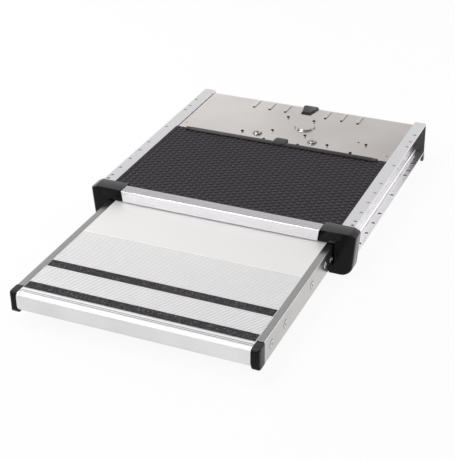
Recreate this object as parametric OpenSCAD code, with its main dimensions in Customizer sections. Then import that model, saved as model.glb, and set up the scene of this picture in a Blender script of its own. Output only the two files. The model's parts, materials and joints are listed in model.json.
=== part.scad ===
// Pull out entrance step for a caravan: an aluminium tread that slides out of a flat cassette.
// It is drawn pulled out. +Y points to the rear of the cassette, and the step comes out towards -Y.
// The origin is on the surface that the cassette stands on, in the middle of its width and length.

/* [Cassette] */
// Width over the outer edges of the two rails
cassette_w = 450; // [400:5:620]
// Length from the front face of the beam to the rails' rear ends
cassette_l = 455; // [447:2:560]
// Height of the rails
rail_h = 60; // [58:1:66]
// Wall thickness of the rail section
rail_wall = 2.5; // [1.8:0.1:3]
// Width of the rails' outward flanges, with the web
flange_w = 21.5; // [18:0.5:26]
// Height of the rails above the surface that the feet stand on
foot_drop = 14; // [12:0.5:20]
// Radius of the fixing holes in the flanges
fixing_hole_r = 3.1; // [2:0.1:3.6]
// Distance of the fixing holes from the flange's outer edge
fixing_edge = 6; // [4.5:0.5:8]
// Depth of the front beam from front to back
beam_d = 23.2; // [20:0.2:28]
// Wall thickness of the front beam
beam_wall = 2; // [1.4:0.1:3]
// Width of the beam's top face between the two corner caps
beam_w = 352; // [300:4:372]
// Depth of the corner caps from front to back
cap_d = 29; // [27:0.5:34]
// How far the corner caps stand out past the rails
cap_side = 10.5; // [8:0.5:14]
// Radius of the corner caps' front outer edges
cap_edge_r = 6.5; // [3:0.5:8]

/* [Covers] */
// Height from the plate's top up to the rails' top
plate_drop = 3.5; // [2.5:0.1:4.5]
// Thickness of the front cover plate
plate_t = 1.5; // [1:0.1:2]
// Length of the rear pan from front to back
pan_l = 169.7; // [168:0.1:190]
// Thickness of the rear pan's sheet
pan_t = 1.2; // [0.8:0.1:1.5]
// Diameter of the pan's dome over the drive pulley
dome_d = 42; // [30:1:46]
// Height of the pan's dome
dome_h = 3; // [2:0.1:4]
// Number of pressed ribs on each half of the pan
ribs_per_side = 3; // [1:1:4]
// Spacing of the pressed ribs
rib_pitch = 32; // [20:1:36]
// Width of a pressed rib
rib_w = 6; // [3:0.5:8]
// Length of a pressed rib
rib_l = 38; // [20:1:40]

/* [Tread] */
// Reach of the pulled out tread in front of the beam
reach = 313; // [290:1:322]
// Height of the tread's side profiles
tread_h = 37; // [35:0.5:38]
// Width of a side profile
side_w = 11; // [9:0.5:14]
// Wall thickness of the side and nose profiles
profile_wall = 2; // [1.4:0.1:3]
// Height from the tread's top up to the rails' top
tread_drop = 20.6; // [20.4:0.2:21]
// Free space between a side profile and the rail beside it
side_gap = 3.5; // [3:0.1:4.5]
// Thickness of the deck sheets
deck_t = 3; // [2:0.1:4]
// Depth of the ribbed front deck
ribbed_l = 190; // [175:1:200]
// Spacing of the deck's anti-slip ribs
deck_rib_pitch = 3.58; // [3:0.02:6]
// Depth of the grooves between the deck's anti-slip ribs
deck_rib_h = 0.8; // [0.4:0.1:1.2]
// Depth of the nose profile from front to back
nose_d = 17; // [16:0.5:20]
// Radius of the nose's upper front edge
nose_r = 8; // [4:0.5:9]
// Radius of the nose's lower front edge
nose_low_r = 10; // [5:0.5:11]
// Height of the nose profile's underside above the side profiles' underside
nose_lift = 5; // [3:0.5:7]
// Width of a grip strip from front to back
grip_w = 17.5; // [14:0.5:22]
// Thickness of a grip strip
grip_t = 0.7; // [0.5:0.1:1]
// Length of the nose's end caps from front to back
nose_cap_l = 24; // [20:1:32]

/* [Drive] */
// Tooth spacing of the drive belt
belt_pitch = 5; // [4:0.1:5.2]
// Width of the drive belt
belt_w = 7; // [5:0.2:7.4]
// Teeth on the drive pulley
drive_teeth = 26; // [24:1:27]
// Teeth on the idler pulley
idler_teeth = 17; // [15:1:18]
// Radius of the drive motor's can
motor_r = 17.5; // [14:0.5:18]
// Length of the drive motor's can
motor_l = 66; // [50:1:80]

/* [Hidden] */
$fn = 48;

// Clearances
seat = 0.1;         // between pieces that are fixed together
slide_gap = 0.3;    // between pieces that slide past each other
turn_gap = 0.05;    // radial gap of a turning shaft or pin
end_gap = 5;        // between the nose caps and the corner caps when the tread is in

// Heights
top_z = foot_drop + rail_h;
tread_top = top_z - tread_drop;
tread_bottom = tread_top - tread_h;
plate_top = top_z - plate_drop;
cap_top = top_z + 0.8;    // the beam and its caps stand a little higher than the rails
plate_z = plate_top - plate_t;
beam_bottom = tread_top + grip_t + slide_gap;

// Lengths, from the nose at the front to the end plates at the rear
overall_l = reach + cassette_l;
nose_y = -overall_l / 2;
beam_y = nose_y + reach;
rear_y = overall_l / 2;
beam_rear = beam_y + beam_d;
cap_setback = 2;
cap_y = beam_y + cap_setback;
cap_rear = cap_y + cap_d;
cap_wall = 6;
end_plate_t = 3;
rail_front = cap_y + cap_wall;
rail_rear = rear_y;
core_rear = rear_y - end_plate_t;
// Drive pulley's distance from the rails' rear end, and the gearbox on its axis
drive_back = 93;
pulley_y = rail_rear - drive_back;
gearbox_r = 24;
gearbox_h = 24;
// Rear crossbar of the tread: its room behind the beam when out, and in front of the gearbox when in
crossbar_d = 12;
beam_room = 8.8;
gearbox_room = 8;
crossbar_rear = beam_rear + beam_room + crossbar_d;
// Travel of the tread, until its nose caps are at the corner caps or its crossbar is at the gearbox
travel = min(
    reach + cap_setback - nose_cap_l - end_gap,
    pulley_y - gearbox_r - gearbox_room - crossbar_rear
);

// Widths
half_w = cassette_w / 2;
web_in = half_w - flange_w;
web_out = web_in + rail_wall;
tread_half = web_in - side_gap;
deck_half = tread_half - side_w - 0.6;

// Rail section: its inner lips carry the covers above and the tread's guides
lip_t = 2;
ledge_w = 6;
lip_w = 10;
flange_corner = 3;
guide_t = 2.4;
upper_lip_z = tread_top + slide_gap + guide_t;
lower_lip_z = tread_bottom - slide_gap - guide_t;
port_r = 3.8;
port_bore = 1.9;
port_x = web_out + 2;
port_z = top_z - 9;
low_port_z = foot_drop + rail_wall + 4.5;
// Fixing holes along the flanges, measured from the beam's front face
flange_holes = [36, 50, 81, 118, 155, 191, 264, 346, 368, 398];

// Side screws, measured from the nose, and their height
side_screw_y = [51, 105, 218, 279];
side_screw_z = tread_bottom + 17.5;
side_screw_r = 2;
// Rivet low in each side profile, measured from the nose, and its height and radii
rivet_y = 306;
rivet_z = tread_bottom + 10.5;
rivet_r = 1.2;
rivet_head_r = 1.8;
rivet_head_h = 0.5;

// Covers
pan_rear = rail_rear - 4;
pan_front = pan_rear - pan_l;
plate_rear = pan_front - 0.3;
wall_t = 2;
bar_d = 11.5;
bar_h = 3.5;
bar_y = plate_rear - 6.2;
cover_half = web_in - 1.2;

// Screws through the pan: distance from the middle and from the rails' rear end
m4_r = 2;
head_r = 3.4;
head_h = 1.8;
bracket_screws = [[25.8, 62], [32, 128]];
cover_screws = [[82.8, 151], [33, 168.5]];
bolt_at = [53.6, 148.5];
bolt_r = 3;
cup_r = 10;
// Pressed ribs: distance of the first one from the middle, and height
rib_x = 40.5;
rib_h = 1.6;
drain_r = 1.2;
// Other holes: distance from the middle and from the rails' rear end, and radius
single_holes = [[131.4, 117.3, 2], [147.6, 125.4, 1.6]];
edge_hole = [web_in - 8.2, 153, 1.4];

// Belt drive
pulley_x = 19;
pulley_flange_t = 1.2;
pulley_flange_h = 1.2;
idler_room = 2;
drive_r = drive_teeth * belt_pitch / (2 * PI);
idler_r = idler_teeth * belt_pitch / (2 * PI);
idler_x = pulley_x - drive_r + idler_r;
idler_y = beam_rear + idler_r + pulley_flange_h + idler_room;
belt_t = 1.3;
tooth_h = 1.2;
tooth_foot = 2.6;
tooth_tip = 1.6;
groove_w = 2.4;
groove_depth = 1.6;
belt_gap = 0.15;
belt_z = tread_top + 5.6;
belt_run_x = pulley_x - drive_r;
// Inner faces of the belt clamp's two jaws beside the left run, and the clamp's two sides
outer_x = belt_run_x - belt_t - slide_gap;
inner_x = belt_run_x + tooth_h + slide_gap;
clamp_x0 = outer_x - 6.7;
clamp_x1 = inner_x + 1.7;
pulley_z = belt_z - 0.2 - pulley_flange_t;
pulley_h = belt_w + 0.4 + 2 * pulley_flange_t;
shaft_r = 4;
pin_r = 3;
bracket_t = 2;
bracket_z = tread_top + 1.6;
motor_y = pulley_y + 33;
motor_z = bracket_z - motor_r - 2.5;
gearbox_l = 26;

// Deck
deck_front = nose_y + nose_d;
deck_split = deck_front + ribbed_l;
strip_inset = 4.5;   // from the deck's front edge to the front strip
strip_gap = 50;      // between the two strips
grip_front_y = deck_front + strip_inset;
grip_rear_y = grip_front_y + grip_w + strip_gap;
plug_t = 3;
tail_y = pan_rear - pan_t - wall_t - 2.8 - plug_t - travel;

// Extrudes an outline drawn in X and Z along Y
module along_y(y0, y1) {
    translate([0, y1, 0]) rotate([90, 0, 0]) linear_extrude(y1 - y0) children();
}

// Extrudes an outline drawn in Y and Z along X
module along_x(x0, x1) {
    translate([x0, 0, 0]) rotate([90, 0, 90]) linear_extrude(x1 - x0) children();
}

// Extrudes an outline drawn in X and Y upwards
module along_z(z0, z1) {
    translate([0, 0, z0]) linear_extrude(z1 - z0) children();
}

// Rectangle between two corners
module rect(x0, y0, x1, y1) {
    translate([x0, y0]) square([x1 - x0, y1 - y0]);
}

// Rectangle with four round corners
module round_rect(x0, y0, x1, y1, r) {
    rect(x0 + r, y0, x1 - r, y1);
    rect(x0, y0 + r, x1, y1 - r);
    for (x = [x0 + r, x1 - r], y = [y0 + r, y1 - r]) translate([x, y]) circle(r);
}

// Mirrors a right-hand piece to the left-hand side
module left_hand() {
    mirror([1, 0, 0]) children();
}

// Cylinder along +Z from a point
module rod(x, y, z0, z1, r) {
    translate([x, y, z0]) cylinder(h = z1 - z0, r = r);
}

// Part of the rail section that runs on into the corner cap, without the two flanges
module rail_core(grow = 0) {
    rect(web_in - grow, lower_lip_z - lip_t - grow, web_out + grow, top_z - 1.8 + grow);
    rect(web_in - ledge_w - grow, plate_z - lip_t - grow, web_in + grow, plate_z + grow);
    rect(web_in - lip_w - grow, upper_lip_z - grow, web_in + grow, upper_lip_z + lip_t + grow);
    rect(web_in - lip_w - grow, lower_lip_z - lip_t - grow, web_in + grow, lower_lip_z + grow);
    for (z = [port_z, low_port_z]) translate([port_x, z]) circle(port_r + grow);
}

module rail() {
    color("gainsboro") difference() {
        union() {
            along_y(rail_front, core_rear) rail_core();
            along_y(cap_rear + seat, core_rear) rect(web_in, foot_drop, half_w, foot_drop + rail_wall);
            // The top flange runs on over the end plate, to a round outer corner
            along_z(top_z - rail_wall, top_z) {
                rect(web_in, cap_rear + seat, half_w, rail_rear - flange_corner);
                rect(web_in, cap_rear + seat, half_w - flange_corner, rail_rear);
                translate([half_w - flange_corner, rail_rear - flange_corner]) circle(flange_corner);
            }
        }
        for (z = [port_z, low_port_z]) {
            translate([port_x, core_rear + 1, z]) rotate([90, 0, 0]) cylinder(h = overall_l, r = port_bore);
        }
        for (y = flange_holes) rod(half_w - fixing_edge, beam_y + y, top_z - 8, top_z + 1, fixing_hole_r);
        for (i = [2:len(flange_holes) - 1]) {
            rod(half_w - fixing_edge, beam_y + flange_holes[i], foot_drop - 1, foot_drop + 5, fixing_hole_r);
        }
    }
}

module rail_right() {
    rail();
}

module rail_left() {
    left_hand() rail();
}

// Beam's end line: the caps' inner faces lean inwards by this much over the beam's height
beam_lean = 3;

module beam_section(inset) {
    round_rect(beam_y + inset, beam_bottom + inset, beam_rear - inset, cap_top - inset, 1.5 - inset / 2);
}

module front_beam() {
    color("lightgray") intersection() {
        along_x(-beam_w / 2, beam_w / 2) difference() {
            beam_section(0);
            beam_section(beam_wall);
        }
        along_y(beam_y - 1, beam_rear + 1) polygon([
            [-beam_w / 2, cap_top + 1], [beam_w / 2, cap_top + 1],
            [beam_w / 2 - beam_lean, beam_bottom - 1], [-beam_w / 2 + beam_lean, beam_bottom - 1]
        ]);
    }
}

// Corner cap: three convex blocks with a round front outer edge and softened front edges
cap_out = half_w + cap_side;
cap_taper = 5;
cap_toe = 7;
cap_chamfer = 9.5;
cap_cut = 8;
cap_in = tread_half + 1.5;
cap_toe_top = tread_bottom - 0.7;

module cap_slab(y0, y1, points) {
    along_y(y0, y1) polygon(points);
}

// Side inset of the round edge and front inset of the other edges, at a share of the quarter turn
function round_in(share) = cap_edge_r * (1 - cos(90 * share));
function round_depth(share) = cap_edge_r * (1 - sin(90 * share));
function soft_in(share) = share < 1 ? 0 : 0.9;

// Upper block, from the beam's end to the outer side: s is the inset of the side, e that of the other edges
function cap_top_points(s, e) = [
    [beam_w / 2 + 0.6, cap_top - e], [cap_out - cap_chamfer - s, cap_top - e], [cap_out - s, cap_top - 5 - e],
    [cap_out - cap_taper * 0.22 - s, beam_bottom], [beam_w / 2 - beam_lean + 0.6, beam_bottom]
];

// Outer leg, tapering down to a cut corner
function cap_leg_points(s, e) = [
    [cap_in, beam_bottom], [cap_out - cap_taper * 0.22 - s, beam_bottom],
    [cap_out - cap_taper - s, cap_cut], [cap_out - cap_taper - cap_cut - s, e], [cap_in, e]
];

// Toe under the tread
function cap_toe_points(e) = [
    [tread_half - cap_toe + 1, e], [cap_in + 2, e], [cap_in + 2, cap_toe_top],
    [tread_half - cap_toe, cap_toe_top], [tread_half - cap_toe, 2]
];

module cap_block(kind) {
    function_points = function (s, e) kind == 0 ? cap_top_points(s, e)
        : kind == 1 ? cap_leg_points(s, e) : cap_toe_points(e);
    hull() {
        for (share = [1, 0.75, 0.5, 0.25]) {
            y = cap_y + round_depth(share);
            cap_slab(y, y + 0.1, function_points(round_in(share), soft_in(share)));
        }
        cap_slab(cap_y + cap_edge_r, cap_rear - 1, function_points(0, 0));
        cap_slab(cap_rear - 0.1, cap_rear, function_points(0.8, 0.8));
    }
}

module cap() {
    color("#2d2c2d") difference() {
        union() {
            for (kind = [0:2]) cap_block(kind);
            // Spigot that plugs into the hollow beam
            along_x(beam_w / 2 - beam_lean - 14, beam_w / 2 + 2) {
                beam_section_plug();
            }
        }
        along_y(rail_front, cap_rear + 1) rail_core(0.15);
        translate([port_x, cap_y - 1, port_z]) rotate([-90, 0, 0]) cylinder(h = cap_d, r = m4_r + seat);
        translate([port_x, cap_y - 1, port_z]) rotate([-90, 0, 0]) cylinder(h = 3.4, r = head_r + 0.4);
    }
}

module beam_section_plug() {
    in = beam_wall + 0.15;
    rect(beam_y + in, beam_bottom + in, beam_rear - in, cap_top - in);
}

module beam_cap_right() {
    cap();
}

module beam_cap_left() {
    left_hand() cap();
}

module cap_screws() {
    color("#3a3a3a") for (side = [-1, 1]) {
        translate([side * port_x, cap_y + 2.4, port_z]) rotate([-90, 0, 0]) {
            translate([0, 0, -head_h]) difference() {
                cylinder(h = head_h, r = head_r);
                translate([0, 0, -1]) cylinder(h = 2, r = 1.4, $fn = 6);
            }
            cylinder(h = 16, r = port_bore - seat);
        }
    }
}

// Front cover plate, notched round the corner caps
module top_plate() {
    notch_x = beam_w / 2 - beam_lean;
    notch_y = cap_rear + 0.2;
    color("#444244") along_z(plate_z, plate_top) polygon([
        [-notch_x, beam_rear + 0.2], [notch_x, beam_rear + 0.2], [notch_x, notch_y], [cover_half, notch_y],
        [cover_half, plate_rear], [-cover_half, plate_rear], [-cover_half, notch_y], [-notch_x, notch_y]
    ]);
}

// Half-round bar along the plate's rear edge
bar_half = 185;
bar_r = (pow(bar_d / 2, 2) + pow(bar_h, 2)) / (2 * bar_h);

module plate_bar() {
    color("#3a393a") along_x(-bar_half, bar_half) intersection() {
        translate([bar_y, plate_top + bar_h - bar_r]) circle(bar_r, $fn = 96);
        rect(bar_y - bar_d / 2, plate_top + 0.02, bar_y + bar_d / 2, plate_top + bar_h + 1);
    }
}

// Pan holes: [distance from the middle, distance from the rail's rear end], mirrored to both sides
module pan_screw_holes(r) {
    for (side = [-1, 1], p = concat(bracket_screws, cover_screws)) {
        rod(side * p[0], rail_rear - p[1], plate_z - 2, plate_top + 2, r);
    }
}

// Raised dome with a flat top, as a revolved sheet profile
module dome(r, h, t) {
    translate([0, 0, plate_top]) rotate_extrude($fn = 96) polygon([
        [0, h], [r - 3, h], [r - 1.2, h * 0.72], [r, 0], [r, -t], [r - t, -t],
        [r - t - 1, h * 0.5], [r - 3.4, h - t], [0, h - t]
    ]);
}

// Pressed rib: a low half-round with a domed front end, hollow underneath
module pressed_rib(x) {
    rib_front = pan_rear - rib_l;
    rr = (pow(rib_w / 2, 2) + pow(rib_h, 2)) / (2 * rib_h);
    intersection() {
        translate([x, 0, plate_top + rib_h - rr]) {
            translate([0, pan_rear, 0]) rotate([90, 0, 0]) cylinder(h = rib_l - rib_w / 2, r = rr, $fn = 72);
            translate([0, rib_front + rib_w / 2, 0]) sphere(rr, $fn = 72);
        }
        translate([x - rib_w / 2, rib_front, plate_top - 0.2]) cube([rib_w, rib_l, 4]);
    }
}

module rear_pan() {
    lip_x = web_in - ledge_w - 0.2;
    color("silver") difference() {
        union() {
            along_z(plate_top - pan_t, plate_top) difference() {
                rect(-cover_half, pan_front, cover_half, pan_rear);
                translate([pulley_x, pulley_y]) circle(dome_d / 2 - pan_t, $fn = 96);
            }
            // Rear edge folded down over the rear wall
            along_x(-lip_x, lip_x) rect(pan_rear - pan_t, plate_top - 10, pan_rear, plate_top - 0.3);
            translate([pulley_x, pulley_y, 0]) dome(dome_d / 2, dome_h, pan_t);
            for (side = [-1, 1], i = [0:ribs_per_side - 1]) pressed_rib(side * (rib_x + i * rib_pitch));
            // Raised collars round the two bolts
            for (side = [-1, 1]) translate([side * bolt_at[0], rail_rear - bolt_at[1], plate_top]) {
                rotate_extrude($fn = 72) translate([cup_r - 2.2, 0]) intersection() {
                    circle(2.2, $fn = 32);
                    rect(-3, -0.3, 3, 3);
                }
            }
        }
        pan_screw_holes(m4_r + seat);
        for (side = [-1, 1]) {
            rod(side * bolt_at[0], rail_rear - bolt_at[1], plate_z - 2, plate_top + 4, bolt_r + seat);
            // Drain hole at the front end of each rib
            for (i = [0:ribs_per_side - 1]) {
                x = side * (rib_x + i * rib_pitch);
                rod(x, pan_rear - rib_l - drain_r, plate_z - 2, plate_top + 2, drain_r);
            }
            rod(side * edge_hole[0], rail_rear - edge_hole[1], plate_z - 2, plate_top + 2, edge_hole[2]);
        }
        for (hole = single_holes) rod(hole[0], rail_rear - hole[1], plate_z - 2, plate_top + 2, hole[2]);
    }
}

// Moulded clip that hooks over an edge of the pan: a sloped block with a lip
module clip_body(front_w, rear_w, y0, y1, h) {
    hull() {
        along_z(plate_top + seat, plate_top + seat + 0.6) polygon([
            [-front_w / 2, y0], [front_w / 2, y0], [rear_w / 2, y1 - 3], [rear_w / 2 - 2, y1],
            [-rear_w / 2 + 2, y1], [-rear_w / 2, y1 - 3]
        ]);
        along_z(plate_top + h - 0.8, plate_top + h) polygon([
            [-front_w / 2 + 2, y0 + 5], [front_w / 2 - 2, y0 + 5], [rear_w / 2 - 1.5, y1 - 4],
            [rear_w / 2 - 4, y1 - 1], [-rear_w / 2 + 4, y1 - 1], [-rear_w / 2 + 1.5, y1 - 4]
        ]);
    }
}

module pan_clip_rear() {
    clip_front = pan_rear - 33;
    color("#383638") {
        clip_body(19, 31, clip_front, pan_rear + 2.4, 3.4);
        along_x(-14, 14) rect(pan_rear + seat, plate_top - 9, pan_rear + 2.4, plate_top + 1);
    }
}

module pan_clip_front() {
    bar_rear = bar_y + bar_d / 2;
    color("#383638") clip_body(25, 22, bar_rear + 0.2, bar_rear + 19, 3);
}

// Round-head screw with a cross recess, standing on the pan
module pan_screw(x, y) {
    translate([x, y, plate_top]) {
        difference() {
            intersection() {
                translate([0, 0, head_h - 4.2]) sphere(4.2, $fn = 48);
                cylinder(h = head_h + 1, r = head_r);
            }
            translate([0, 0, head_h]) for (a = [0, 90]) rotate(a) cube([3, 0.8, 1.4], center = true);
        }
        translate([0, 0, -pan_t - 6]) cylinder(h = pan_t + 6.01, r = m4_r - 0.05);
    }
}

module pan_screws() {
    color("gray") {
        for (side = [-1, 1], p = concat(bracket_screws, cover_screws)) {
            pan_screw(side * p[0], rail_rear - p[1]);
        }
    }
}

module pan_bolts() {
    color("dimgray") for (side = [-1, 1]) {
        translate([side * bolt_at[0], rail_rear - bolt_at[1], plate_top]) {
            difference() {
                cylinder(h = 2.2, r = 5);
                translate([0, 0, 0.8]) cylinder(h = 2, r = 2.3, $fn = 6);
            }
            translate([0, 0, -pan_t - 7]) cylinder(h = pan_t + 7.01, r = bolt_r - 0.05);
        }
    }
}

module rear_wall() {
    inner = pan_rear - pan_t;
    color("lightgray") difference() {
        along_y(inner - wall_t, inner) rect(-web_in + 0.1, foot_drop, web_in - 0.1, plate_top - pan_t);
        for (side = [0, 1]) mirror([side, 0, 0]) along_y(inner - wall_t - 1, inner + 1) rail_core(seat);
    }
}

// Plate that closes a rail's rear end under the top flange, with the foot below the bottom flange
module rail_end() {
    foot_w = 5;
    foot_l = 8;
    color("#3f3d3f") difference() {
        union() {
            along_y(core_rear, rear_y) {
                round_rect(web_in, foot_drop - 2, half_w - 0.3, top_z - rail_wall - seat, 1);
                rect(half_w - foot_w, 2, half_w - 0.3, foot_drop);
            }
            along_y(rear_y - foot_l, rear_y) {
                round_rect(half_w - foot_w + 0.5, 0, half_w + 0.5, foot_drop - seat, 1);
            }
        }
        for (z = [port_z, low_port_z]) translate([port_x, rear_y + 1, z]) rotate([90, 0, 0]) {
            cylinder(h = 20, r = m4_r + seat);
            cylinder(h = head_h + 1, r = head_r + 0.4);
        }
    }
}

module rail_end_right() {
    rail_end();
}

module rail_end_left() {
    left_hand() rail_end();
}

module rail_end_screws() {
    color("gray") for (side = [-1, 1], z = [port_z, low_port_z]) {
        translate([side * port_x, rear_y - head_h, z]) rotate([90, 0, 0]) {
            translate([0, 0, -head_h]) difference() {
                cylinder(h = head_h, r = head_r);
                translate([0, 0, -1]) cylinder(h = 2, r = 1.4, $fn = 6);
            }
            cylinder(h = 15, r = port_bore - seat);
        }
    }
}

// Plastic guides on the rails' lips: an L that runs over and beside the tread's side profile
guide_y0 = cap_rear + 1;
guide_y1 = pan_rear - pan_t - wall_t - 1;
guide_leg = 8;

module upper_guide() {
    color("#efece4") along_y(guide_y0, guide_y1) {
        rect(web_in - lip_w, tread_top + slide_gap, web_in - 0.05, upper_lip_z - 0.02);
        rect(tread_half + slide_gap, tread_top - guide_leg, web_in - 0.05, tread_top + slide_gap);
    }
}

module lower_guide() {
    color("#efece4") along_y(guide_y0, guide_y1) {
        rect(web_in - lip_w, lower_lip_z + 0.02, web_in - 0.05, tread_bottom - slide_gap);
        rect(tread_half + slide_gap, tread_bottom - slide_gap, web_in - 0.05, tread_bottom + guide_leg);
    }
}

module upper_guide_right() {
    upper_guide();
}

module upper_guide_left() {
    left_hand() upper_guide();
}

module lower_guide_right() {
    lower_guide();
}

module lower_guide_left() {
    left_hand() lower_guide();
}

// Plate that hangs under the pan and carries the gearbox, with a slot for the belt clamp's foot
module motor_bracket() {
    edge = 12.4;
    half = bolt_at[0] + edge;
    front = rail_rear - bolt_at[1] - edge;
    slot_end = crossbar_rear + travel + 2;
    color("darkgray") along_z(bracket_z, bracket_z + bracket_t) difference() {
        round_rect(-half, front, half, rail_rear - bracket_screws[0][1] + edge, 5);
        rect(clamp_x0 - 3, front - 1, clamp_x1 + 4.5, slot_end);
        translate([pulley_x, pulley_y]) circle(shaft_r + 3);
        for (side = [-1, 1], p = bracket_screws) {
            translate([side * p[0], rail_rear - p[1]]) circle(m4_r + seat);
        }
        for (side = [-1, 1]) translate([side * bolt_at[0], rail_rear - bolt_at[1]]) circle(bolt_r + seat);
    }
}

// Tubes between the pan and the bracket, threaded for the screws and bolts
module bracket_spacers() {
    z0 = bracket_z + bracket_t;
    z1 = plate_top - pan_t;
    color("silver") for (side = [-1, 1]) {
        for (p = bracket_screws) difference() {
            rod(side * p[0], rail_rear - p[1], z0, z1, 3.5);
            rod(side * p[0], rail_rear - p[1], z0 - 1, z1 + 1, m4_r);
        }
        difference() {
            rod(side * bolt_at[0], rail_rear - bolt_at[1], z0, z1, 7);
            rod(side * bolt_at[0], rail_rear - bolt_at[1], z0 - 1, z1 + 1, bolt_r);
        }
    }
}

// Worm gearbox: a round wheel case, a worm tunnel behind it and a square motor flange
module gearbox() {
    z1 = bracket_z;
    z0 = z1 - gearbox_h;
    tunnel_r = 13;
    flange_x = pulley_x - gearbox_l;
    color("#8b8d90") difference() {
        union() {
            rod(pulley_x, pulley_y, z0, z1, gearbox_r);
            rod(pulley_x, pulley_y, z0 - 3, z0 + 1, 12);
            translate([flange_x, motor_y, motor_z]) rotate([0, 90, 0]) {
                cylinder(h = 2 * gearbox_l, r = tunnel_r);
            }
            translate([pulley_x + gearbox_l, motor_y, motor_z]) rotate([0, 90, 0]) cylinder(h = 3, r = 9);
            along_z(motor_z - tunnel_r + 2, z1 - 1) rect(pulley_x - 14, pulley_y, pulley_x + 14, motor_y);
            along_x(flange_x - 4, flange_x) {
                round_rect(motor_y - motor_r, motor_z - motor_r, motor_y + motor_r, motor_z + motor_r, 4);
            }
            for (a = [45:90:315]) {
                rod(pulley_x + (gearbox_r - 2) * cos(a), pulley_y + (gearbox_r - 2) * sin(a), z0, z1, 4);
            }
        }
        rod(pulley_x, pulley_y, z0 + 4, z1 + 1, shaft_r + turn_gap);
    }
}

module motor_can() {
    x1 = pulley_x - gearbox_l - 4;
    x0 = x1 - motor_l;
    color("#5c5e62") translate([0, motor_y, motor_z]) rotate([0, 90, 0]) {
        translate([0, 0, x0 + 4]) cylinder(h = motor_l - 4, r = motor_r);
        translate([0, 0, x0]) cylinder(h = 4.01, r1 = motor_r - 3, r2 = motor_r);
        translate([0, 0, x0 - 3]) cylinder(h = 3.01, r = 6);
        // Flux ring round the middle of the can
        translate([0, 0, x0 + motor_l * 0.25]) cylinder(h = motor_l * 0.5, r = motor_r + 1);
    }
}

// Plug socket for the supply, on the motor's end face
module motor_connector() {
    x1 = pulley_x - gearbox_l - 4 - motor_l;
    color("#222222") difference() {
        along_x(x1 - 10, x1) round_rect(motor_y - 14.4, motor_z - 5, motor_y - 6.4, motor_z + 5, 1);
        along_x(x1 - 11, x1 - 3) rect(motor_y - 13.2, motor_z - 3.8, motor_y - 7.6, motor_z + 3.8);
    }
}

// Outline of the belt loop at a distance outside its inner face
belt_span = pulley_y - idler_y;
belt_offset = pulley_x - idler_x;
belt_dist = sqrt(pow(belt_span, 2) + pow(belt_offset, 2));
belt_lean = atan2(belt_offset, belt_span);
belt_open = asin((drive_r - idler_r) / belt_dist);
// Direction, from a pulley's centre, of the tangent points of the two runs
run_a = 180;
run_b = -belt_lean - belt_open;

function on_circle(x, y, r, a) = [x + r * cos(a), y + r * sin(a)];

module belt_outline(out) {
    translate([pulley_x, pulley_y]) circle(drive_r + out, $fn = 96);
    translate([idler_x, idler_y]) circle(idler_r + out, $fn = 96);
    polygon([
        on_circle(idler_x, idler_y, idler_r + out, run_a), on_circle(idler_x, idler_y, idler_r + out, run_b),
        on_circle(pulley_x, pulley_y, drive_r + out, run_b),
        on_circle(pulley_x, pulley_y, drive_r + out, run_a)
    ]);
}

// Teeth on the inner side of one straight run, pointing away from direction a
module belt_teeth(a) {
    from = on_circle(idler_x, idler_y, idler_r, a);
    to = on_circle(pulley_x, pulley_y, drive_r, a);
    run = norm(to - from);
    count = floor(run / belt_pitch) - 6;
    along = (to - from) / run;
    inward = [-cos(a), -sin(a)];
    for (i = [0:count - 1]) {
        mid = from + along * (run / 2 + (i - (count - 1) / 2) * belt_pitch);
        polygon([
            mid - along * tooth_foot / 2 - inward * 0.2, mid - along * tooth_tip / 2 + inward * tooth_h,
            mid + along * tooth_tip / 2 + inward * tooth_h, mid + along * tooth_foot / 2 - inward * 0.2
        ]);
    }
}

module drive_belt() {
    color("#2a2a2a") union() {
        along_z(belt_z, belt_z + belt_w) difference() {
            belt_outline(belt_t);
            belt_outline(0);
        }
        for (a = [run_a, run_b]) along_z(belt_z, belt_z + belt_w) belt_teeth(a);
    }
}

// Toothed section of a pulley, with its lands just inside the belt
module pulley_teeth(r, teeth) {
    difference() {
        circle(r - belt_gap, $fn = 96);
        for (i = [0:teeth - 1]) rotate((i + 0.5) * 360 / teeth) {
            rect(r - groove_depth, -groove_w / 2, r + 2, groove_w / 2);
        }
    }
}

// Toothed pulley with two flanges; the bore takes a shaft or pin
module pulley(r, teeth, bore) {
    difference() {
        union() {
            along_z(pulley_z + pulley_flange_t, pulley_z + pulley_h - pulley_flange_t) pulley_teeth(r, teeth);
            for (z = [pulley_z, pulley_z + pulley_h - pulley_flange_t]) {
                translate([0, 0, z]) cylinder(h = pulley_flange_t, r = r + pulley_flange_h, $fn = 96);
            }
        }
        translate([0, 0, pulley_z - 1]) cylinder(h = pulley_h + 2, r = bore);
    }
}

module drive_pulley() {
    color("#b9b9b4") translate([pulley_x, pulley_y, 0]) pulley(drive_r, drive_teeth, shaft_r);
}

module output_shaft() {
    color("silver") difference() {
        rod(pulley_x, pulley_y, bracket_z - gearbox_h + 5, pulley_z + pulley_h + 1, shaft_r - 0.01);
        rod(pulley_x, pulley_y, pulley_z + pulley_h - 3, pulley_z + pulley_h + 2, 1.5);
    }
}

module idler_bracket() {
    plate_under = plate_z - 0.02;
    color("darkgray") along_z(plate_under - 1, plate_under) difference() {
        round_rect(idler_x - 20, idler_y - 14, idler_x + 20, idler_y + 18, 4);
        translate([idler_x, idler_y]) circle(pin_r);
    }
}

module idler_pin() {
    color("silver") {
        rod(idler_x, idler_y, pulley_z - 1.2, plate_z - 0.02, pin_r - 0.01);
        rod(idler_x, idler_y, pulley_z - 1.8, pulley_z - slide_gap, pin_r + 2);
    }
}

module idler_pulley() {
    color("#d9d6cc") translate([idler_x, idler_y, 0]) pulley(idler_r, idler_teeth, pin_r - 0.01 + turn_gap);
}

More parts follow.
